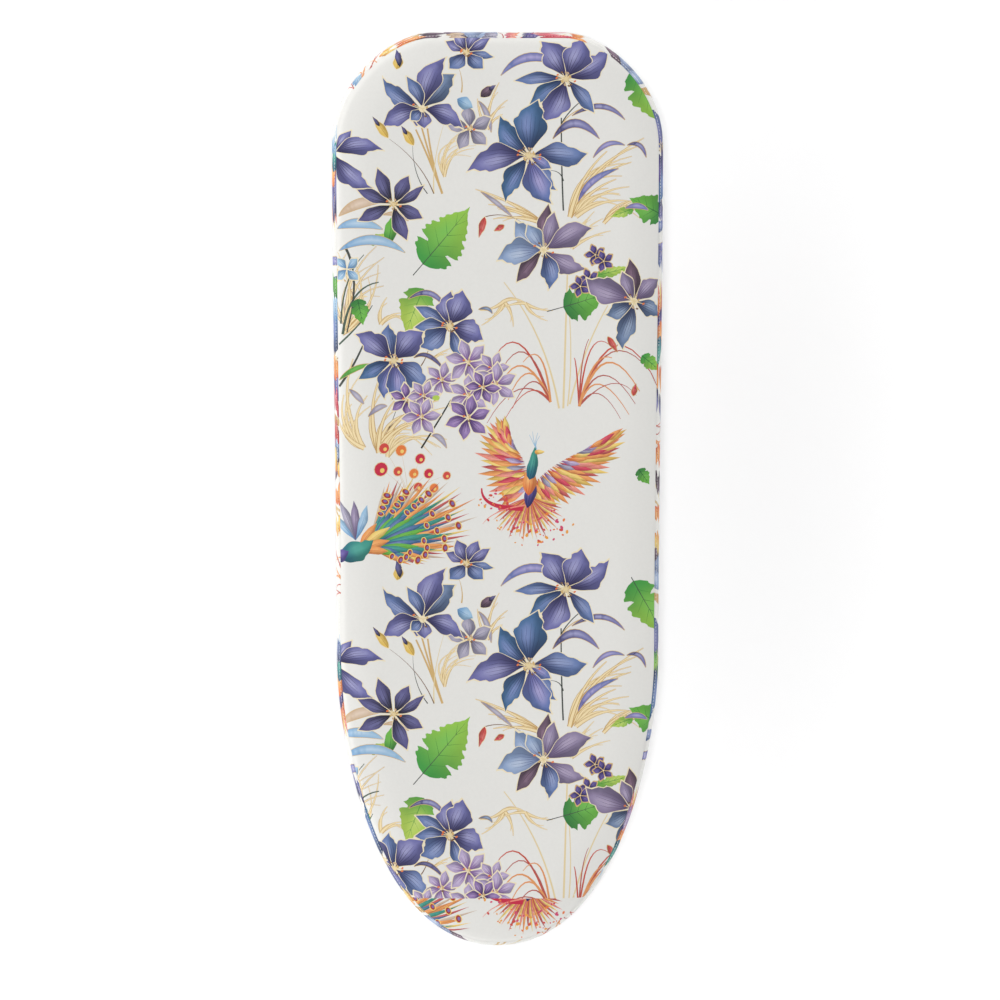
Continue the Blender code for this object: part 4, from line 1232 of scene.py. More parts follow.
def field_points(rim, spacing, inset):
    """A grid of points inside an outline, every second row shifted, kept well inside the rounded edge."""
    low, high = rim.min(axis=0), rim.max(axis=0)
    xs = np.arange(low[0], high[0], spacing)
    ys = np.arange(low[1], high[1], spacing * ROW_SHARE)
    grid = np.array([(x + (0.5 * spacing if row % 2 else 0.0), y) for row, y in enumerate(ys) for x in xs])
    return grid[past_edge(grid)[1] < -inset]


def edge_distance_tree():
    """Nearest-point search over the line where the top starts to round."""
    tree = kdtree.KDTree(OUTLINE_SAMPLES)
    for index, point in enumerate(OUTLINE - OUTWARD * EDGE_RADIUS):
        tree.insert((point[0], point[1], 0.0), index)
    tree.balance()
    return tree


EDGE_TREE = edge_distance_tree()


def past_edge(flat):
    """Nearest outline sample and distance outside the line where the top starts to round."""
    nearest = np.array([EDGE_TREE.find((p[0], p[1], 0.0))[1] for p in flat])
    start = OUTLINE[nearest] - OUTWARD[nearest] * EDGE_RADIUS
    return nearest, np.einsum("ij,ij->i", flat - start, OUTWARD[nearest])


def padding_swell(x, y):
    """Height and slopes of the faint waves that the padding leaves in the stretched top."""
    height = sum(a * MM * np.sin(kx * x + ky * y + c) for a, kx, ky, c in SWELLS)
    slope_x = sum(a * MM * kx * np.cos(kx * x + ky * y + c) for a, kx, ky, c in SWELLS)
    slope_y = sum(a * MM * ky * np.cos(kx * x + ky * y + c) for a, kx, ky, c in SWELLS)
    return height, slope_x, slope_y


def crown(past):
    """Slope and drop of the crowned top at distances past the line where a flat top would start to round."""
    before = past < CROWN_END
    run = np.clip(past + CROWN_REACH, 0.0, None)
    slope = np.where(before, CROWN_LEAN * run / (CROWN_REACH + CROWN_END), past / EDGE_RADIUS)
    rounded = CROWN_DROP + EDGE_RADIUS * (1.0 - np.cos(slope))
    return slope, np.where(before, 0.5 * slope * run, rounded)


def wrap_top(flat):
    """Lay the flat top cloth on the board and over its rounded edge."""
    nearest, past = past_edge(flat)
    out = OUTWARD[nearest]
    base = flat - out * past[:, None]
    reach = np.where(past > 0, EDGE_RADIUS * np.sin(np.clip(past, 0.0, None) / EDGE_RADIUS), past)
    seam_dip = SEAM_DIP * smooth((past - SEAM_REACH + SEAM_DIP_RUN) / SEAM_DIP_RUN)
    lean, drop = crown(past)
    height, slope_x, slope_y = padding_swell(flat[:, 0], flat[:, 1])
    fade = smooth(-past / SWELL_FADE)
    z = TOP_Z - SWELL_ROOM - drop + height * fade - seam_dip * np.cos(lean)
    xy = base + out * (reach - seam_dip * np.sin(lean))[:, None]
    normal = np.column_stack((out * np.sin(lean)[:, None], np.cos(lean)))
    normal[:, 0] -= slope_x * fade
    normal[:, 1] -= slope_y * fade
    normal = unit(normal)
    return np.column_stack((xy, z)), normal


def make_cover_top(tile, wildlife):
    """The top panel of the cover with the joined lengths of printed cloth."""
    rim = ring(RIM_POINTS, EDGE_RADIUS - SEAM_REACH)
    rows = [ring(RIM_POINTS, EDGE_RADIUS - SEAM_REACH * row / EDGE_ROWS) for row in range(EDGE_ROWS)]
    rows.append(ring(RIM_POINTS // 2, EDGE_RADIUS + EXTRA_ROW_INSET))
    rows.append(field_points(rim, FIELD_SPACING, FIELD_INSET))
    upper = [Placed(s, (0.0, shift)) for shift in (0.0, -PATTERN_REPEAT) for s in tile + wildlife]
    lower = [Placed(s, (0.0, JOIN_SHIFT)) for s in wildlife]
    flat, tris, colours = paint_cloth(rim, (upper, lower), np.vstack(rows), CLOTH_JOIN_Y)
    verts, normals = wrap_top(flat)
    piece = cloth_piece("cover_top", verts, normals, tris, colours, COTTON)
    finish_piece(piece, "board", "cover", "cover")


# ---------------------------------------------------------------- the side band of the cover

# Points of the band's cross-section on the rounded edge, round the tube and round the elastic.
EDGE_STEPS = 9
TUBE_STEPS = 13
HEM_STEPS = 11
SMOOTH_END = 17
GATHER_START = 18
HEM_START = EDGE_STEPS + TUBE_STEPS
FLAP_END = HEM_START + HEM_STEPS


def arc(start, end, steps, offset, z, radius):
    """Points (offset, z) of the band's cross-section along an arc of one radius."""
    turn = np.linspace(start, end, steps)
    return np.column_stack((offset + radius * np.cos(turn), z + radius * np.sin(turn)))


def band_profile():
    """Cross-section of the side band from the seam to the end of the hem: (offset, z) and length along it."""
    half_turn, quarter = math.pi, math.pi / 2
    points = np.vstack((
        arc(quarter + SEAM_ANGLE, half_turn, EDGE_STEPS, EDGE_RADIUS, EDGE_TOP_Z - EDGE_RADIUS, EDGE_RADIUS),
        arc(half_turn, half_turn + quarter, TUBE_STEPS, TUBE_OFFSET, TUBE_Z, TUBE_OFFSET),
        arc(-quarter, quarter, HEM_STEPS, HEM_OFFSET, ELASTIC_Z, HEM_FOLD_RADIUS),
        ((HEM_OFFSET - HEM_FLAP, ELASTIC_Z + HEM_FOLD_RADIUS),)))
    return points, np.concatenate(((0.0,), np.cumsum(np.linalg.norm(np.diff(points, axis=0), axis=1))))


BAND_POINTS, BAND_ALONG = band_profile()
BAND_WIDTH = BAND_ALONG[-1]
BAND_COLUMNS = 1140
UNDER_START = float(BAND_ALONG[GATHER_START])
UNDER_END = float(BAND_ALONG[HEM_START])
UNDER_ROWS = 7
PUCKER_PITCH = 0.0115
PUCKERS = round(PERIMETER / PUCKER_PITCH)
PUCKER_DEPTH = 2.4 * MM
PUCKER_SHARPNESS = 1.4
PUCKER_RISE = 0.3
# The puckers are shallow near the hook, so that it can swing below them.
HOOK_ROOM = 0.085
HOOK_FADE = 0.03
HOOK_FLATTENING = 0.72
# Where the strip was cut from the printed cloth.
STRIP_CUT_X = 0.035
STRIP_START = 0.10
STRIP_REPEATS = 6
SMALL_STEP = 0.05 * MM
# Bold patches of the print that show along the rim: place on the board (mm), half length (mm) and tone.
RIM_STREAKS = (
    ((56, 435), 18, "crimson"), ((32, 435), 8, "indigo"), ((78, 434), 9, "orange"),
    ((14, 435), 7, "pink"), ((-4, 435), 8, "grey"), ((-36, 435), 10, "tan"), ((-62, 434), 14, "burgundy"),
    ((-156, 285), 22, "violet"), ((-84, 431), 16, "orange"), ((-104, 424), 9, "amber"),
    ((-132, 392), 8, "sky"), ((-155, 330), 9, "sky"), ((-156, 178), 14, "sky"),
    ((-156, 200), 12, "green"), ((-155, 120), 12, "orange"), ((-155, 92), 16, "crimson"),
    ((-155, 62), 14, "red"), ((-155, 30), 12, "amber"), ((-154, 0), 12, "orange"),
    ((-154, -30), 10, "amber"), ((156, 304), 20, "indigo"), ((156, 262), 12, "violet"),
    ((155, 218), 14, "lavender"), ((155, 105), 16, "orange"), ((155, 80), 14, "violet"),
    ((154, 30), 12, "orange"), ((154, 4), 12, "burgundy"), ((154, -24), 10, "orange"),
    ((154, -52), 12, "amber"), ((-152, -150), 14, "blue"), ((152, -170), 14, "leaf"),
    ((-140, -280), 16, "violet"), ((128, -320), 14, "orchid"), ((-96, -390), 12, "amber"))
STREAK_ROWS = 3
STREAK_SEED = 5


def wrap_band(run, down):
    """Lay the side band round the edge, under the tube and over the elastic, gathered towards its hem."""
    offset = np.interp(down, BAND_ALONG, BAND_POINTS[:, 0])
    z = np.interp(down, BAND_ALONG, BAND_POINTS[:, 1])
    point, out = outline_at(run)
    turn = 2 * np.pi * run / PERIMETER
    drift = 1.3 * np.sin(17 * turn + 0.4) + 0.9 * np.sin(41 * turn + 1.9) + 0.25 * np.sin(88 * turn)
    phase = PUCKERS * turn + drift
    fold = (0.5 + 0.5 * np.cos(phase)) ** PUCKER_SHARPNESS
    size = 1.0 + 0.35 * np.sin(29 * turn + 0.8)
    gather = smooth((down - UNDER_START) / (UNDER_END - UNDER_START))
    hook = middle_of("hook_post")
    hook_gap = np.linalg.norm(point - (0.0, hook.y), axis=1)
    near_hook = 1.0 - smooth((hook_gap - HOOK_ROOM) / HOOK_FADE)
    depth = PUCKER_DEPTH * (1.0 - HOOK_FLATTENING * near_hook)
    z = z - gather * size * depth * (fold - PUCKER_RISE)
    offset = offset + gather * MM * (0.9 * np.sin(phase + 0.6) + 0.7 * np.sin(11 * turn))
    start_dip = SEAM_DIP * (1.0 - smooth(down / SEAM_DIP_RUN))
    offset = offset + start_dip * math.sin(SEAM_ANGLE)
    z = z - start_dip * math.cos(SEAM_ANGLE)
    return np.column_stack((point - out * offset[:, None], z))


def band_slopes(run, down, step):
    """Direction across the wrapped band, and its normal."""
    along = wrap_band(run + step, down) - wrap_band(run - step, down)
    across = wrap_band(run, np.clip(down + step, 0, BAND_WIDTH))
    across -= wrap_band(run, np.clip(down - step, 0, BAND_WIDTH))
    return across, unit(np.cross(across, along))


def band_grid(steps):
    """Points inside the flat band: sparse where it lies smooth and dense where it is gathered."""
    under = np.linspace(UNDER_START, UNDER_END, UNDER_ROWS + 1)[1:]
    below_edge = (BAND_ALONG[EDGE_STEPS - 1] + BAND_ALONG[EDGE_STEPS]) / 2
    smooth_rows = (*BAND_ALONG[1:EDGE_STEPS], below_edge, *BAND_ALONG[EDGE_STEPS:SMOOTH_END:2])
    gathered_rows = (*BAND_ALONG[SMOOTH_END:GATHER_START + 1], *under, *BAND_ALONG[HEM_START + 1:FLAP_END:2],
                     BAND_ALONG[FLAP_END - 1])
    return np.array([(s, w) for w in smooth_rows for s in steps[3:-1:3]] +
                    [(s, w) for w in gathered_rows for s in steps[1:-1]])


def rim_streaks():
    """Patches of strong colour that run along the seam."""
    found = []
    draw = np.random.default_rng(STREAK_SEED)
    for place, half, tone in RIM_STREAKS:
        gap = np.linalg.norm(OUTLINE - np.array(place) * MM, axis=1)
        run = gap.argmin() * PERIMETER / OUTLINE_SAMPLES / MM
        for row in range(STREAK_ROWS):
            at = (run + draw.uniform(-0.4, 0.2) * half - half, 0.5 + 3.2 * row)
            length = half * draw.uniform(1.2, 2.0)
            turn = draw.uniform(-6, 8)
            found += petal(at, turn, length, draw.uniform(3.2, 6.0), 0.02, tone, 0.5, 0.6, 0, 2)
    return [Placed(s) for s in found]


def make_cover_side(tile, wildlife):
    """The side band of the cover: cut as one long strip, gathered by the elastic in its hem."""
    steps = np.arange(BAND_COLUMNS + 1) / BAND_COLUMNS * PERIMETER
    ends = np.zeros(BAND_COLUMNS + 1)
    rim = np.vstack((np.column_stack((steps, ends)), np.column_stack((steps[::-1], ends + BAND_WIDTH))))
    bold = [s for s in tile + wildlife if not s.fine]
    shapes = [Placed(s, (PATTERN_REPEAT * index - STRIP_START, STRIP_CUT_X), -90.0)
              for index in range(STRIP_REPEATS) for s in bold]
    flat, tris, colours = paint_cloth(rim, (shapes + rim_streaks(), []), band_grid(steps))
    verts = wrap_band(flat[:, 0], flat[:, 1])
    normals = band_slopes(flat[:, 0], flat[:, 1], SMALL_STEP)[1]
    tris = tris[:, ::-1]
    colours = colours.reshape(-1, 3, 3)[:, ::-1].reshape(-1, 3)
    piece = cloth_piece("cover_side", verts, normals, tris, colours, COTTON)
    finish_piece(piece, "board", "cover", "cover")


# ---------------------------------------------------------------- padding under the cover

PAD_EDGE_STEPS = 6
PAD_RIM_POINTS = 480
PAD_SPACING = 7 * MM
PAD_INSET = 2 * MM
PAD_SKIN = 1.8 * MM
PAD_DIMPLE_TURNS = (410, 370)


def make_pad(name, node, material, dimple, drop):
    """A closed slab of padding with an edge that follows the cover, its faces slightly uneven."""
    low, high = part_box(node)
    radius = EDGE_RADIUS - PAD_SKIN
    centre_z = EDGE_TOP_Z - EDGE_RADIUS
    count = PAD_RIM_POINTS

    def offset_at(z):
        return EDGE_RADIUS - math.sqrt(max(radius ** 2 - (z - centre_z) ** 2, 0.0))

    levels = np.linspace(high.z - drop, low.z, PAD_EDGE_STEPS + 1)
    sides = [np.column_stack((ring(count, offset_at(z)), np.full(count, z))) for z in levels]
    verts = list(np.vstack(sides))
    faces = ring_faces(len(levels), count)
    for level, facing in ((0, 1.0), (PAD_EDGE_STEPS, -1.0)):
        rim = sides[level][:, :2]
        inside = field_points(rim, PAD_SPACING, PAD_INSET)
        loop = list(range(count))[::-1]
        flat = [Vector(v) for v in np.vstack((rim, inside))]
        cut = geometry.delaunay_2d_cdt(flat, [], [loop], 1, SAME_POINT)
        height = dimple * (np.prod(np.sin(PAD_DIMPLE_TURNS * inside), axis=1) - 1.0)
        start = len(verts)
        surface = high.z - np.minimum(crown(past_edge(inside)[1])[1], drop) if facing > 0 else low.z
        verts += list(np.column_stack((inside, surface + facing * height)))
        for tri in cut[2]:
            own = [level * count + v if v < count else start + v - count for v in tri]
            faces.append(own if facing > 0 else own[::-1])
    pad = new_piece(name, verts, faces, material)
    outward_faces(pad)
    finish_piece(pad, "board", node, node)


# ---------------------------------------------------------------- steel sheet with its mesh of diamonds

DIAMOND_LONG = 24 * MM
DIAMOND_SHORT = 11 * MM
DIAMOND_BLUNTNESS = 0.14
STRAND = 2.2 * MM
PLAIN_RIM = 7 * MM
COLUMN_REACH = 8


def diamond(x, y):
    """One opening of the mesh, with blunt points."""
    long, short = DIAMOND_LONG / 2 - STRAND * 0.95, DIAMOND_SHORT / 2 - STRAND * 0.45
    tip, flat = DIAMOND_BLUNTNESS * short, DIAMOND_BLUNTNESS * long
    return np.array(((x + long, y - tip), (x + long, y + tip), (x + flat, y + short), (x - flat, y + short),
                     (x - long, y + tip), (x - long, y - tip), (x - flat, y - short), (x + flat, y - short)))


def diamond_openings(limit):
    """Staggered rows of openings whose corners all lie inside a limit from the edge."""
    rows = int(2 * HALF_LENGTH / (DIAMOND_SHORT / 2))
    holes = []
    for row in range(-rows // 2, rows // 2 + 1):
        shift = DIAMOND_LONG / 2 if row % 2 else 0.0
        for column in range(-COLUMN_REACH, COLUMN_REACH + 1):
            holes.append(diamond(column * DIAMOND_LONG + shift, row * DIAMOND_SHORT / 2))
    furthest = past_edge(np.vstack(holes))[1].reshape(len(holes), -1).max(axis=1)
    return [hole for hole, past in zip(holes, furthest) if past < limit]


def make_mesh_sheet():
    """Expanded steel sheet: rows of diamonds inside a plain rim."""
    low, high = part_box("mesh_sheet")
    offset = WIDE_HALF_WIDTH - high.x
    rim = ring(PAD_RIM_POINTS, offset)
    holes = diamond_openings(EDGE_RADIUS - offset - PLAIN_RIM)
    faces = [list(range(len(rim)))[::-1]]
    for index in range(len(holes)):
        start = len(rim) + 8 * index
        faces.append(list(range(start, start + 8)))
    cut = geometry.delaunay_2d_cdt([Vector(v) for v in np.vstack([rim] + holes)], [], faces, 0, 1e-7, True)
    builder = bmesh.new()
    top = [builder.verts.new((*v, high.z)) for v in cut[0]]
    for tri, owners in zip(cut[2], cut[5]):
        if list(owners) == [0]:
            builder.faces.new([top[v] for v in tri])
    bmesh.ops.recalc_face_normals(builder, faces=builder.faces)
    if sum(face.normal.z for face in builder.faces) < 0:
        bmesh.ops.reverse_faces(builder, faces=builder.faces[:])
    lower = bmesh.ops.extrude_face_region(builder, geom=builder.faces[:], use_keep_orig=True)
    moved = [v for v in lower["geom"] if isinstance(v, bmesh.types.BMVert)]
    bmesh.ops.translate(builder, verts=moved, vec=(0.0, 0.0, low.z - high.z))
    loose = [v for v in builder.verts if not v.link_faces]
    bmesh.ops.delete(builder, geom=loose, context="VERTS")
    bmesh.ops.recalc_face_normals(builder, faces=builder.faces)
    sheet = piece_from(builder, "mesh_sheet_expanded", MESH_COAT)
    finish_piece(sheet, "board", "mesh_sheet", "mesh_sheet")


# ---------------------------------------------------------------- bars, wires and turned parts

UPRIGHT = (0.0, 0.0, 1.0)
LENGTHWISE = (0.0, 1.0, 0.0)
CROSSWISE = (1.0, 0.0, 0.0)
# Turns at which a bar's blunt end is drawn in, and its depth as a share of the bar's radius.
END_TURNS = np.array((0.25, 0.8, 1.25))
END_DEPTH = 0.35
END_START = 0.36
SAME_VERTEX = 0.005 * MM
TURNED_CRISP_ANGLE = 38.0
RIVET_SHANK = 1.8 * MM
RIVET_HEAD = 1.4 * MM
PIN_RADIUS = 2.5 * MM
DOME_STEPS = 7
RIVET_SIDES = 28
PIN_SIDES = 32


def blunt_ends(points, radius):
    """A bar's path with both ends drawn in, and the bar's radius at each point."""
    first, last = points[0] - points[1], points[-1] - points[-2]
    first, last = first / np.linalg.norm(first), last / np.linalg.norm(last)
    inward = END_DEPTH * radius * (np.cos(END_TURNS) - 1.0)
    head = points[0] + np.outer(inward, first)
    tail = points[-1] + np.outer(inward[::-1], last)
    start, end = points[0] - first * END_START * radius, points[-1] - last * END_START * radius
    shrink = radius * (0.55 + 0.45 * np.sin(END_TURNS))
    path = np.vstack((head, start, points[1:-1], end, tail))
    return path, np.concatenate((shrink, np.full(len(points), radius), shrink[::-1]))


def sweep(name, points, radius, sides, material, closed=False, up=UPRIGHT):
    """A round bar along a path, with blunt ends unless it is a loop."""
    points = np.asarray(points, float)
    if closed:
        radii = np.full(len(points), radius)
        ahead = np.roll(points, -1, axis=0) - np.roll(points, 1, axis=0)
    else:
        points, radii = blunt_ends(points, radius)
        ahead = np.gradient(points, axis=0)
    ahead = unit(ahead)
    aside = np.cross(ahead, up)
    aside = unit(aside)
    above = np.cross(aside, ahead)
    turn = np.linspace(0, 2 * np.pi, sides, endpoint=False)
    verts = [p + r * (math.cos(t) * a + math.sin(t) * b)
             for p, r, a, b in zip(points, radii, aside, above) for t in turn]
    faces = ring_faces(len(points), sides, closed)
    if not closed:
        faces += end_faces(len(points), sides)
    piece = new_piece(name, verts, faces, material)
    outward_faces(piece)
    return piece


def turned(name, profile, centre, axis, material, sides):
    """A part turned about an axis through a centre, from (radius, height) points."""
    axis = np.array(axis, float)
    first = np.cross(axis, LENGTHWISE)
    second = np.cross(axis, first)
    turn = np.linspace(0, 2 * np.pi, sides, endpoint=False)
    verts = [np.array(centre) + axis * height + radius * (math.cos(t) * first + math.sin(t) * second)
             for radius, height in profile for t in turn]
    piece = new_piece(name, verts, ring_faces(len(profile), sides), material)
    outward_faces(piece, TURNED_CRISP_ANGLE, SAME_VERTEX)
    return piece


def dome(radius, base, upward):
    """Profile of a low rivet head from its rim to its middle."""
    turn = np.linspace(0.0, math.pi / 2, DOME_STEPS)
    return [(radius * math.cos(t), base + upward * RIVET_HEAD * math.sin(t)) for t in turn]


def make_rivet(node):
    """A domed tubular rivet with a flat-set far end."""
    low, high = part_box(node)
    centre = middle_of(node)
    head = (high.x - low.x) / 2
    upper = high.z - RIVET_HEAD - centre.z
    lower = low.z + RIVET_HEAD - centre.z
    end = low.z - centre.z
    profile = dome(head, upper, 1.0)[::-1]
    profile += [(head - 0.15 * MM, upper - 0.05 * MM), (RIVET_SHANK, upper - 0.05 * MM)]
    profile += [(RIVET_SHANK, lower + 0.05 * MM), (head - 0.15 * MM, lower + 0.05 * MM)]
    profile += dome(head, lower, -1.0)[:-1]
    profile += [(0.28 * head, end + 0.02 * MM), (0.22 * head, end + 0.45 * MM), (0.0, end + 0.5 * MM)]
    piece = turned(node + "_turned", profile, centre, UPRIGHT, ZINC, RIVET_SIDES)
    finish_piece(piece, "board", node, node)


def make_pin(node):
    """A pivot pin with a head pressed on both ends."""
    low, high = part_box(node)
    head = (high.z - low.z) / 2
    inner = (high.x - low.x) / 2 - RIVET_HEAD
    profile = dome(head, inner, 1.0)[::-1]
    profile += [(head - 0.2 * MM, inner), (PIN_RADIUS, inner)]
    profile += [(PIN_RADIUS, -inner), (head - 0.2 * MM, -inner)]
    profile += dome(head, -inner, -1.0)
    piece = turned(node + "_turned", profile, middle_of(node), CROSSWISE, ZINC, PIN_SIDES)
    finish_piece(piece, "board", node, node)


# ---------------------------------------------------------------- pressed and moulded parts

CRISP_ANGLE = 32.0
FLAT_ANGLE = 1.0
PRESSED_BEVEL = 0.35 * MM
MOULDED_BEVEL = 0.4 * MM


def make_dressed(node, material, bevel):
    """A finished copy of a pressed or moulded CAD part, with its edges broken."""
    builder = bmesh.new()
    builder.from_mesh(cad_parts[node].data)
    bmesh.ops.remove_doubles(builder, verts=builder.verts, dist=0.01 * MM)
    bmesh.ops.dissolve_limit(builder, angle_limit=math.radians(FLAT_ANGLE), verts=builder.verts,
                             edges=builder.edges)
    bmesh.ops.recalc_face_normals(builder, faces=builder.faces)
    piece = piece_from(builder, node + "_finished", material)
    piece.data.shade_smooth()
    piece.data.set_sharp_from_angle(angle=math.radians(CRISP_ANGLE))
    edge = piece.modifiers.new("broken_edges", "BEVEL")
    edge.width = bevel
    edge.segments = 2
    edge.limit_method = "ANGLE"
    edge.angle_limit = math.radians(CRISP_ANGLE)
    edge.use_clamp_overlap = True
    edge.harden_normals = True
    finish_piece(piece, "board", node, node)


# ---------------------------------------------------------------- legs and feet

LEG_RADIUS = 6 * MM
LEG_SPREAD = 85 * MM
LEG_BEND = 30 * MM
LEG_BEND_STEPS = 18
LEG_STRAIGHT_STEPS = 8
LEG_SIDES = 24
LEG_ABOVE_PIN = 8 * MM
FOOT_RIBS = 7
FOOT_SIDES = 40
FOOT_RIB_STEPS = 12
FOOT_ROUND = 2.0 * MM
FOOT_GROOVE = 0.55 * MM
FOOT_FLAT = 0.5 * MM


def make_leg(side):
    """A U-shaped leg bent from round bar, as long and as splayed as its pins and feet say."""
    pin = middle_of("pin_" + side + "_left")
    foot = middle_of("leg_" + side + "_foot_left")
    length = math.hypot(pin.y - foot.y, pin.z - foot.z)
    lean = math.atan2(foot.y - pin.y, pin.z - foot.z)
    right = [(LEG_SPREAD, z) for z in np.linspace(LEG_ABOVE_PIN, LEG_BEND - length, LEG_STRAIGHT_STEPS + 1)[:-1]]
    for angle in np.linspace(0.0, math.pi / 2, LEG_BEND_STEPS + 1):
        right.append((LEG_SPREAD - LEG_BEND + LEG_BEND * math.cos(angle),
                      LEG_BEND - length - LEG_BEND * math.sin(angle)))
    path = right + [(0.0, -length)] + [(-x, z) for x, z in reversed(right)]
    path = [(x, pin.y - z * math.sin(lean), pin.z + z * math.cos(lean)) for x, z in path]
    body = "leg_" + side
    leg = sweep(body + "_bar", path, LEG_RADIUS, LEG_SIDES, COAT, up=LENGTHWISE)
    finish_piece(leg, body, body, body)
    for ending in ("left", "right"):
        make_foot(body + "_foot_" + ending, body)


def make_foot(node, body):
    """A ribbed rubber sleeve on the foot bar."""
    low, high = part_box(node)
    half = (high.x - low.x) / 2
    outer = (high.z - low.z) / 2
    bore = LEG_RADIUS + 0.1 * MM
    rounding = [(outer - FOOT_ROUND + FOOT_ROUND * math.sin(t), half - FOOT_ROUND * (1 - math.cos(t)))
                for t in np.linspace(0.0, math.pi / 2, 5)]
    straight = half - FOOT_ROUND - FOOT_FLAT
    ribs = []
    for index, x in enumerate(np.linspace(straight, -straight, FOOT_RIB_STEPS * FOOT_RIBS + 1)):
        groove = max(0.0, math.cos(2 * math.pi * index / FOOT_RIB_STEPS) - 0.35) / 0.65
        ribs.append((outer - FOOT_GROOVE * groove, x))
    far_rounding = [(radius, -x) for radius, x in reversed(rounding)]
    profile = [(bore, half)] + rounding + ribs + far_rounding + [(bore, -half), (bore, half)]
    piece = turned(node + "_ribbed", profile, middle_of(node), CROSSWISE, RUBBER, FOOT_SIDES)
    finish_piece(piece, body, node, node)


# ---------------------------------------------------------------- hanging hook and its rivet

HOOK_WIRE = 1.75 * MM
HOOK_EYE = 4.4 * MM
HOOK_EYE_OPEN = math.radians(42.0)
HOOK_REACH = 60 * MM
HOOK_BEND = 10 * MM
HOOK_BEND_TURN = math.radians(200.0)
HOOK_EYE_POINTS = 37
HOOK_SHANK_POINTS = 8
HOOK_BEND_STEPS = 32
HOOK_SIDES = 16
POST_SIDES = 40
RIVET_CROWN = 3.2 * MM
HOOK_SHOULDER = 2.5 * MM


def hook_line():
    """Middle line of the hook: its eye, its shank and its open bend."""
    points = [(HOOK_EYE * math.cos(t), HOOK_EYE * math.sin(t))
              for t in np.linspace(HOOK_EYE_OPEN - math.pi / 2, 1.5 * math.pi, HOOK_EYE_POINTS)]
    points += [(0.0, y) for y in np.linspace(-1.9 * HOOK_EYE, -HOOK_REACH, HOOK_SHANK_POINTS)]
    points += [(HOOK_BEND * (1 - math.cos(t)), -HOOK_REACH - HOOK_BEND * math.sin(t))
               for t in np.linspace(0.0, HOOK_BEND_TURN, HOOK_BEND_STEPS + 1)[1:]]
    return points


def make_hook():
    """The wire hook that swivels under the board."""
    centre = middle_of("hook_post")
    z = middle_of("hanging_hook").z
    line = [(centre.x + x, centre.y + y, z) for x, y in hook_line()]
    hook = sweep("hanging_hook_wire", line, HOOK_WIRE, HOOK_SIDES, ZINC)
    finish_piece(hook, "hook", "hanging_hook", "hanging_hook")


def make_hook_post():
    """The shouldered rivet that the hook swivels on."""
    low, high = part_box("hook_post")
    centre = middle_of("hook_post")
    head = (high.x - low.x) / 2
    rail_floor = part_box("rail_hook")[0].z
    eye_low, eye_high = middle_of("hanging_hook").z - HOOK_WIRE, middle_of("hanging_hook").z + HOOK_WIRE
    up = high.z - RIVET_HEAD
    profile = dome(RIVET_CROWN, up, 1.0)[::-1]
    profile += [(RIVET_CROWN, up), (RIVET_SHANK, up), (RIVET_SHANK, rail_floor - 0.3 * MM)]
    profile += [(head - 0.3 * MM, rail_floor - 0.3 * MM), (head, rail_floor - 0.6 * MM)]
    profile += [(head, eye_high + 0.5 * MM), (head - 0.3 * MM, eye_high + 0.2 * MM)]
    profile += [(HOOK_SHOULDER, eye_high + 0.2 * MM), (HOOK_SHOULDER, eye_low - 0.2 * MM)]
    profile += [(head - 0.2 * MM, eye_low - 0.25 * MM)]
    profile += dome(head, low.z + RIVET_HEAD, -1.0)
    post = turned("hook_post_turned", profile, (centre.x, centre.y, 0.0), UPRIGHT, ZINC,
                  POST_SIDES)
    finish_piece(post, "board", "hook_post", "hook_post")


# ---------------------------------------------------------------- stitching

STITCH_LENGTH = 2.3 * MM
STITCH_PITCH = 3.2 * MM
STITCH_SIDES = 6
THREAD_RADIUS = 0.22 * MM
STITCH_LIFT = 0.16 * MM
STITCH_RISE = STITCH_LIFT * np.array((-0.8, 0.55, 1.0, 1.0, 0.55, -0.8))
STITCH_THICKNESS = THREAD_RADIUS * np.array((0.5, 0.9, 1.0, 1.0, 0.9, 0.5))
RIM_STITCH_DOWN = 2.2 * MM
HEM_STITCH_UP = 2.5 * MM


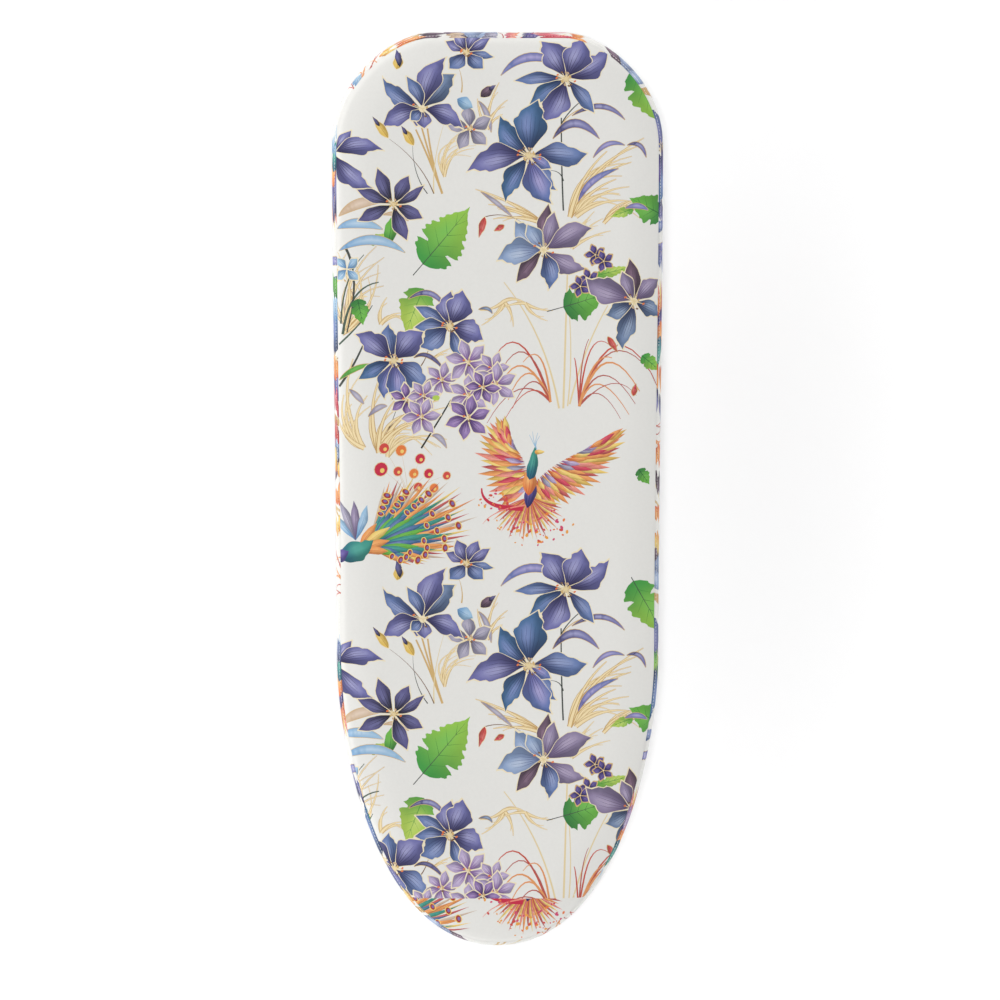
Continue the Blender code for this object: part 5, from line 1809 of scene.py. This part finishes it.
def make_stitches(name, down):
    """A row of machine stitches round the side band, at one distance below the seam."""
    count = round(PERIMETER / STITCH_PITCH)
    rows = len(STITCH_RISE)
    turn = np.linspace(0, 2 * np.pi, STITCH_SIDES, endpoint=False)
    steps = np.linspace(-0.5, 0.5, rows) * STITCH_LENGTH
    run = (np.arange(count)[:, None] * PERIMETER / count + steps[None, :]).ravel()
    depth = np.full(len(run), down)
    across, normal = band_slopes(run, depth, 2 * SMALL_STEP)
    aside = unit(across)
    middle = wrap_band(run, depth) + normal * np.tile(STITCH_RISE, count)[:, None]
    spokes = np.cos(turn)[None, :, None] * normal[:, None, :]
    spokes = spokes + np.sin(turn)[None, :, None] * aside[:, None, :]
    verts = (middle[:, None, :] + np.tile(STITCH_THICKNESS, count)[:, None, None] * spokes).reshape(-1, 3)
    faces = []
    for stitch in range(count):
        start = stitch * rows * STITCH_SIDES
        faces += ring_faces(rows, STITCH_SIDES, start=start) + end_faces(rows, STITCH_SIDES, start)
    piece = new_piece(name, verts, faces, THREAD)
    outward_faces(piece)
    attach(piece, "board")


# ---------------------------------------------------------------- the whole object

TUBE_POINTS = 600
TUBE_SIDES = 24
ELASTIC_POINTS = 720
ELASTIC_SIDES = 10


def make_loop(name, node, count, offset, z, radius, sides, material):
    """A closed tube or cord that runs round the board."""
    line = np.column_stack((ring(count, offset), np.full(count, z)))
    finish_piece(sweep(name, line, radius, sides, material, closed=True), "board", node, node)


def make_board():
    """Tube, sheet, padding, elastic and the cover over them."""
    make_loop("perimeter_tube_smooth", "perimeter_tube", TUBE_POINTS, TUBE_OFFSET, TUBE_Z, TUBE_RADIUS,
              TUBE_SIDES, COAT)
    make_mesh_sheet()
    make_pad("felt_padding", "felt_underlay", FELT, 0.10 * MM, 0.0)
    make_pad("foam_padding", "foam_pad", FOAM, 0.05 * MM, CROWN_DROP)
    make_loop("hem_elastic_braid", "hem_elastic", ELASTIC_POINTS, HEM_OFFSET, ELASTIC_Z, ELASTIC_RADIUS,
              ELASTIC_SIDES, ELASTIC)
    wildlife = birds()
    tile = drawn(STEMS_AND_GRASSES) + reed_arcs() + drawn(LEAVES) + drawn(BLOOMS)
    make_cover_top(tile, wildlife)
    make_cover_side(tile, wildlife)
    make_stitches("rim_stitches", RIM_STITCH_DOWN)
    make_stitches("hem_stitches", UNDER_END - HEM_STITCH_UP)


def make_metalwork():
    """Rails, brackets, pins, rivets, clips, legs and the hook."""
    for node in ("rail_wide_leg", "rail_wide_clip", "rail_nose_leg", "rail_nose_clip", "rail_hook"):
        make_dressed(node, COAT, PRESSED_BEVEL)
    for side in ("wide", "nose"):
        for ending in ("left", "right"):
            make_dressed("bracket_" + side + "_" + ending, COAT, PRESSED_BEVEL)
            make_pin("pin_" + side + "_" + ending)
        for index in range(1, 5):
            make_rivet("rivet_" + side + "_" + str(index))
        make_dressed("clip_" + side, PLASTIC, MOULDED_BEVEL)
        make_rivet("clip_" + side + "_rivet")
        make_leg(side)
    make_hook()
    make_hook_post()


make_camera()
make_lights()
make_floor()
make_board()
make_metalwork()
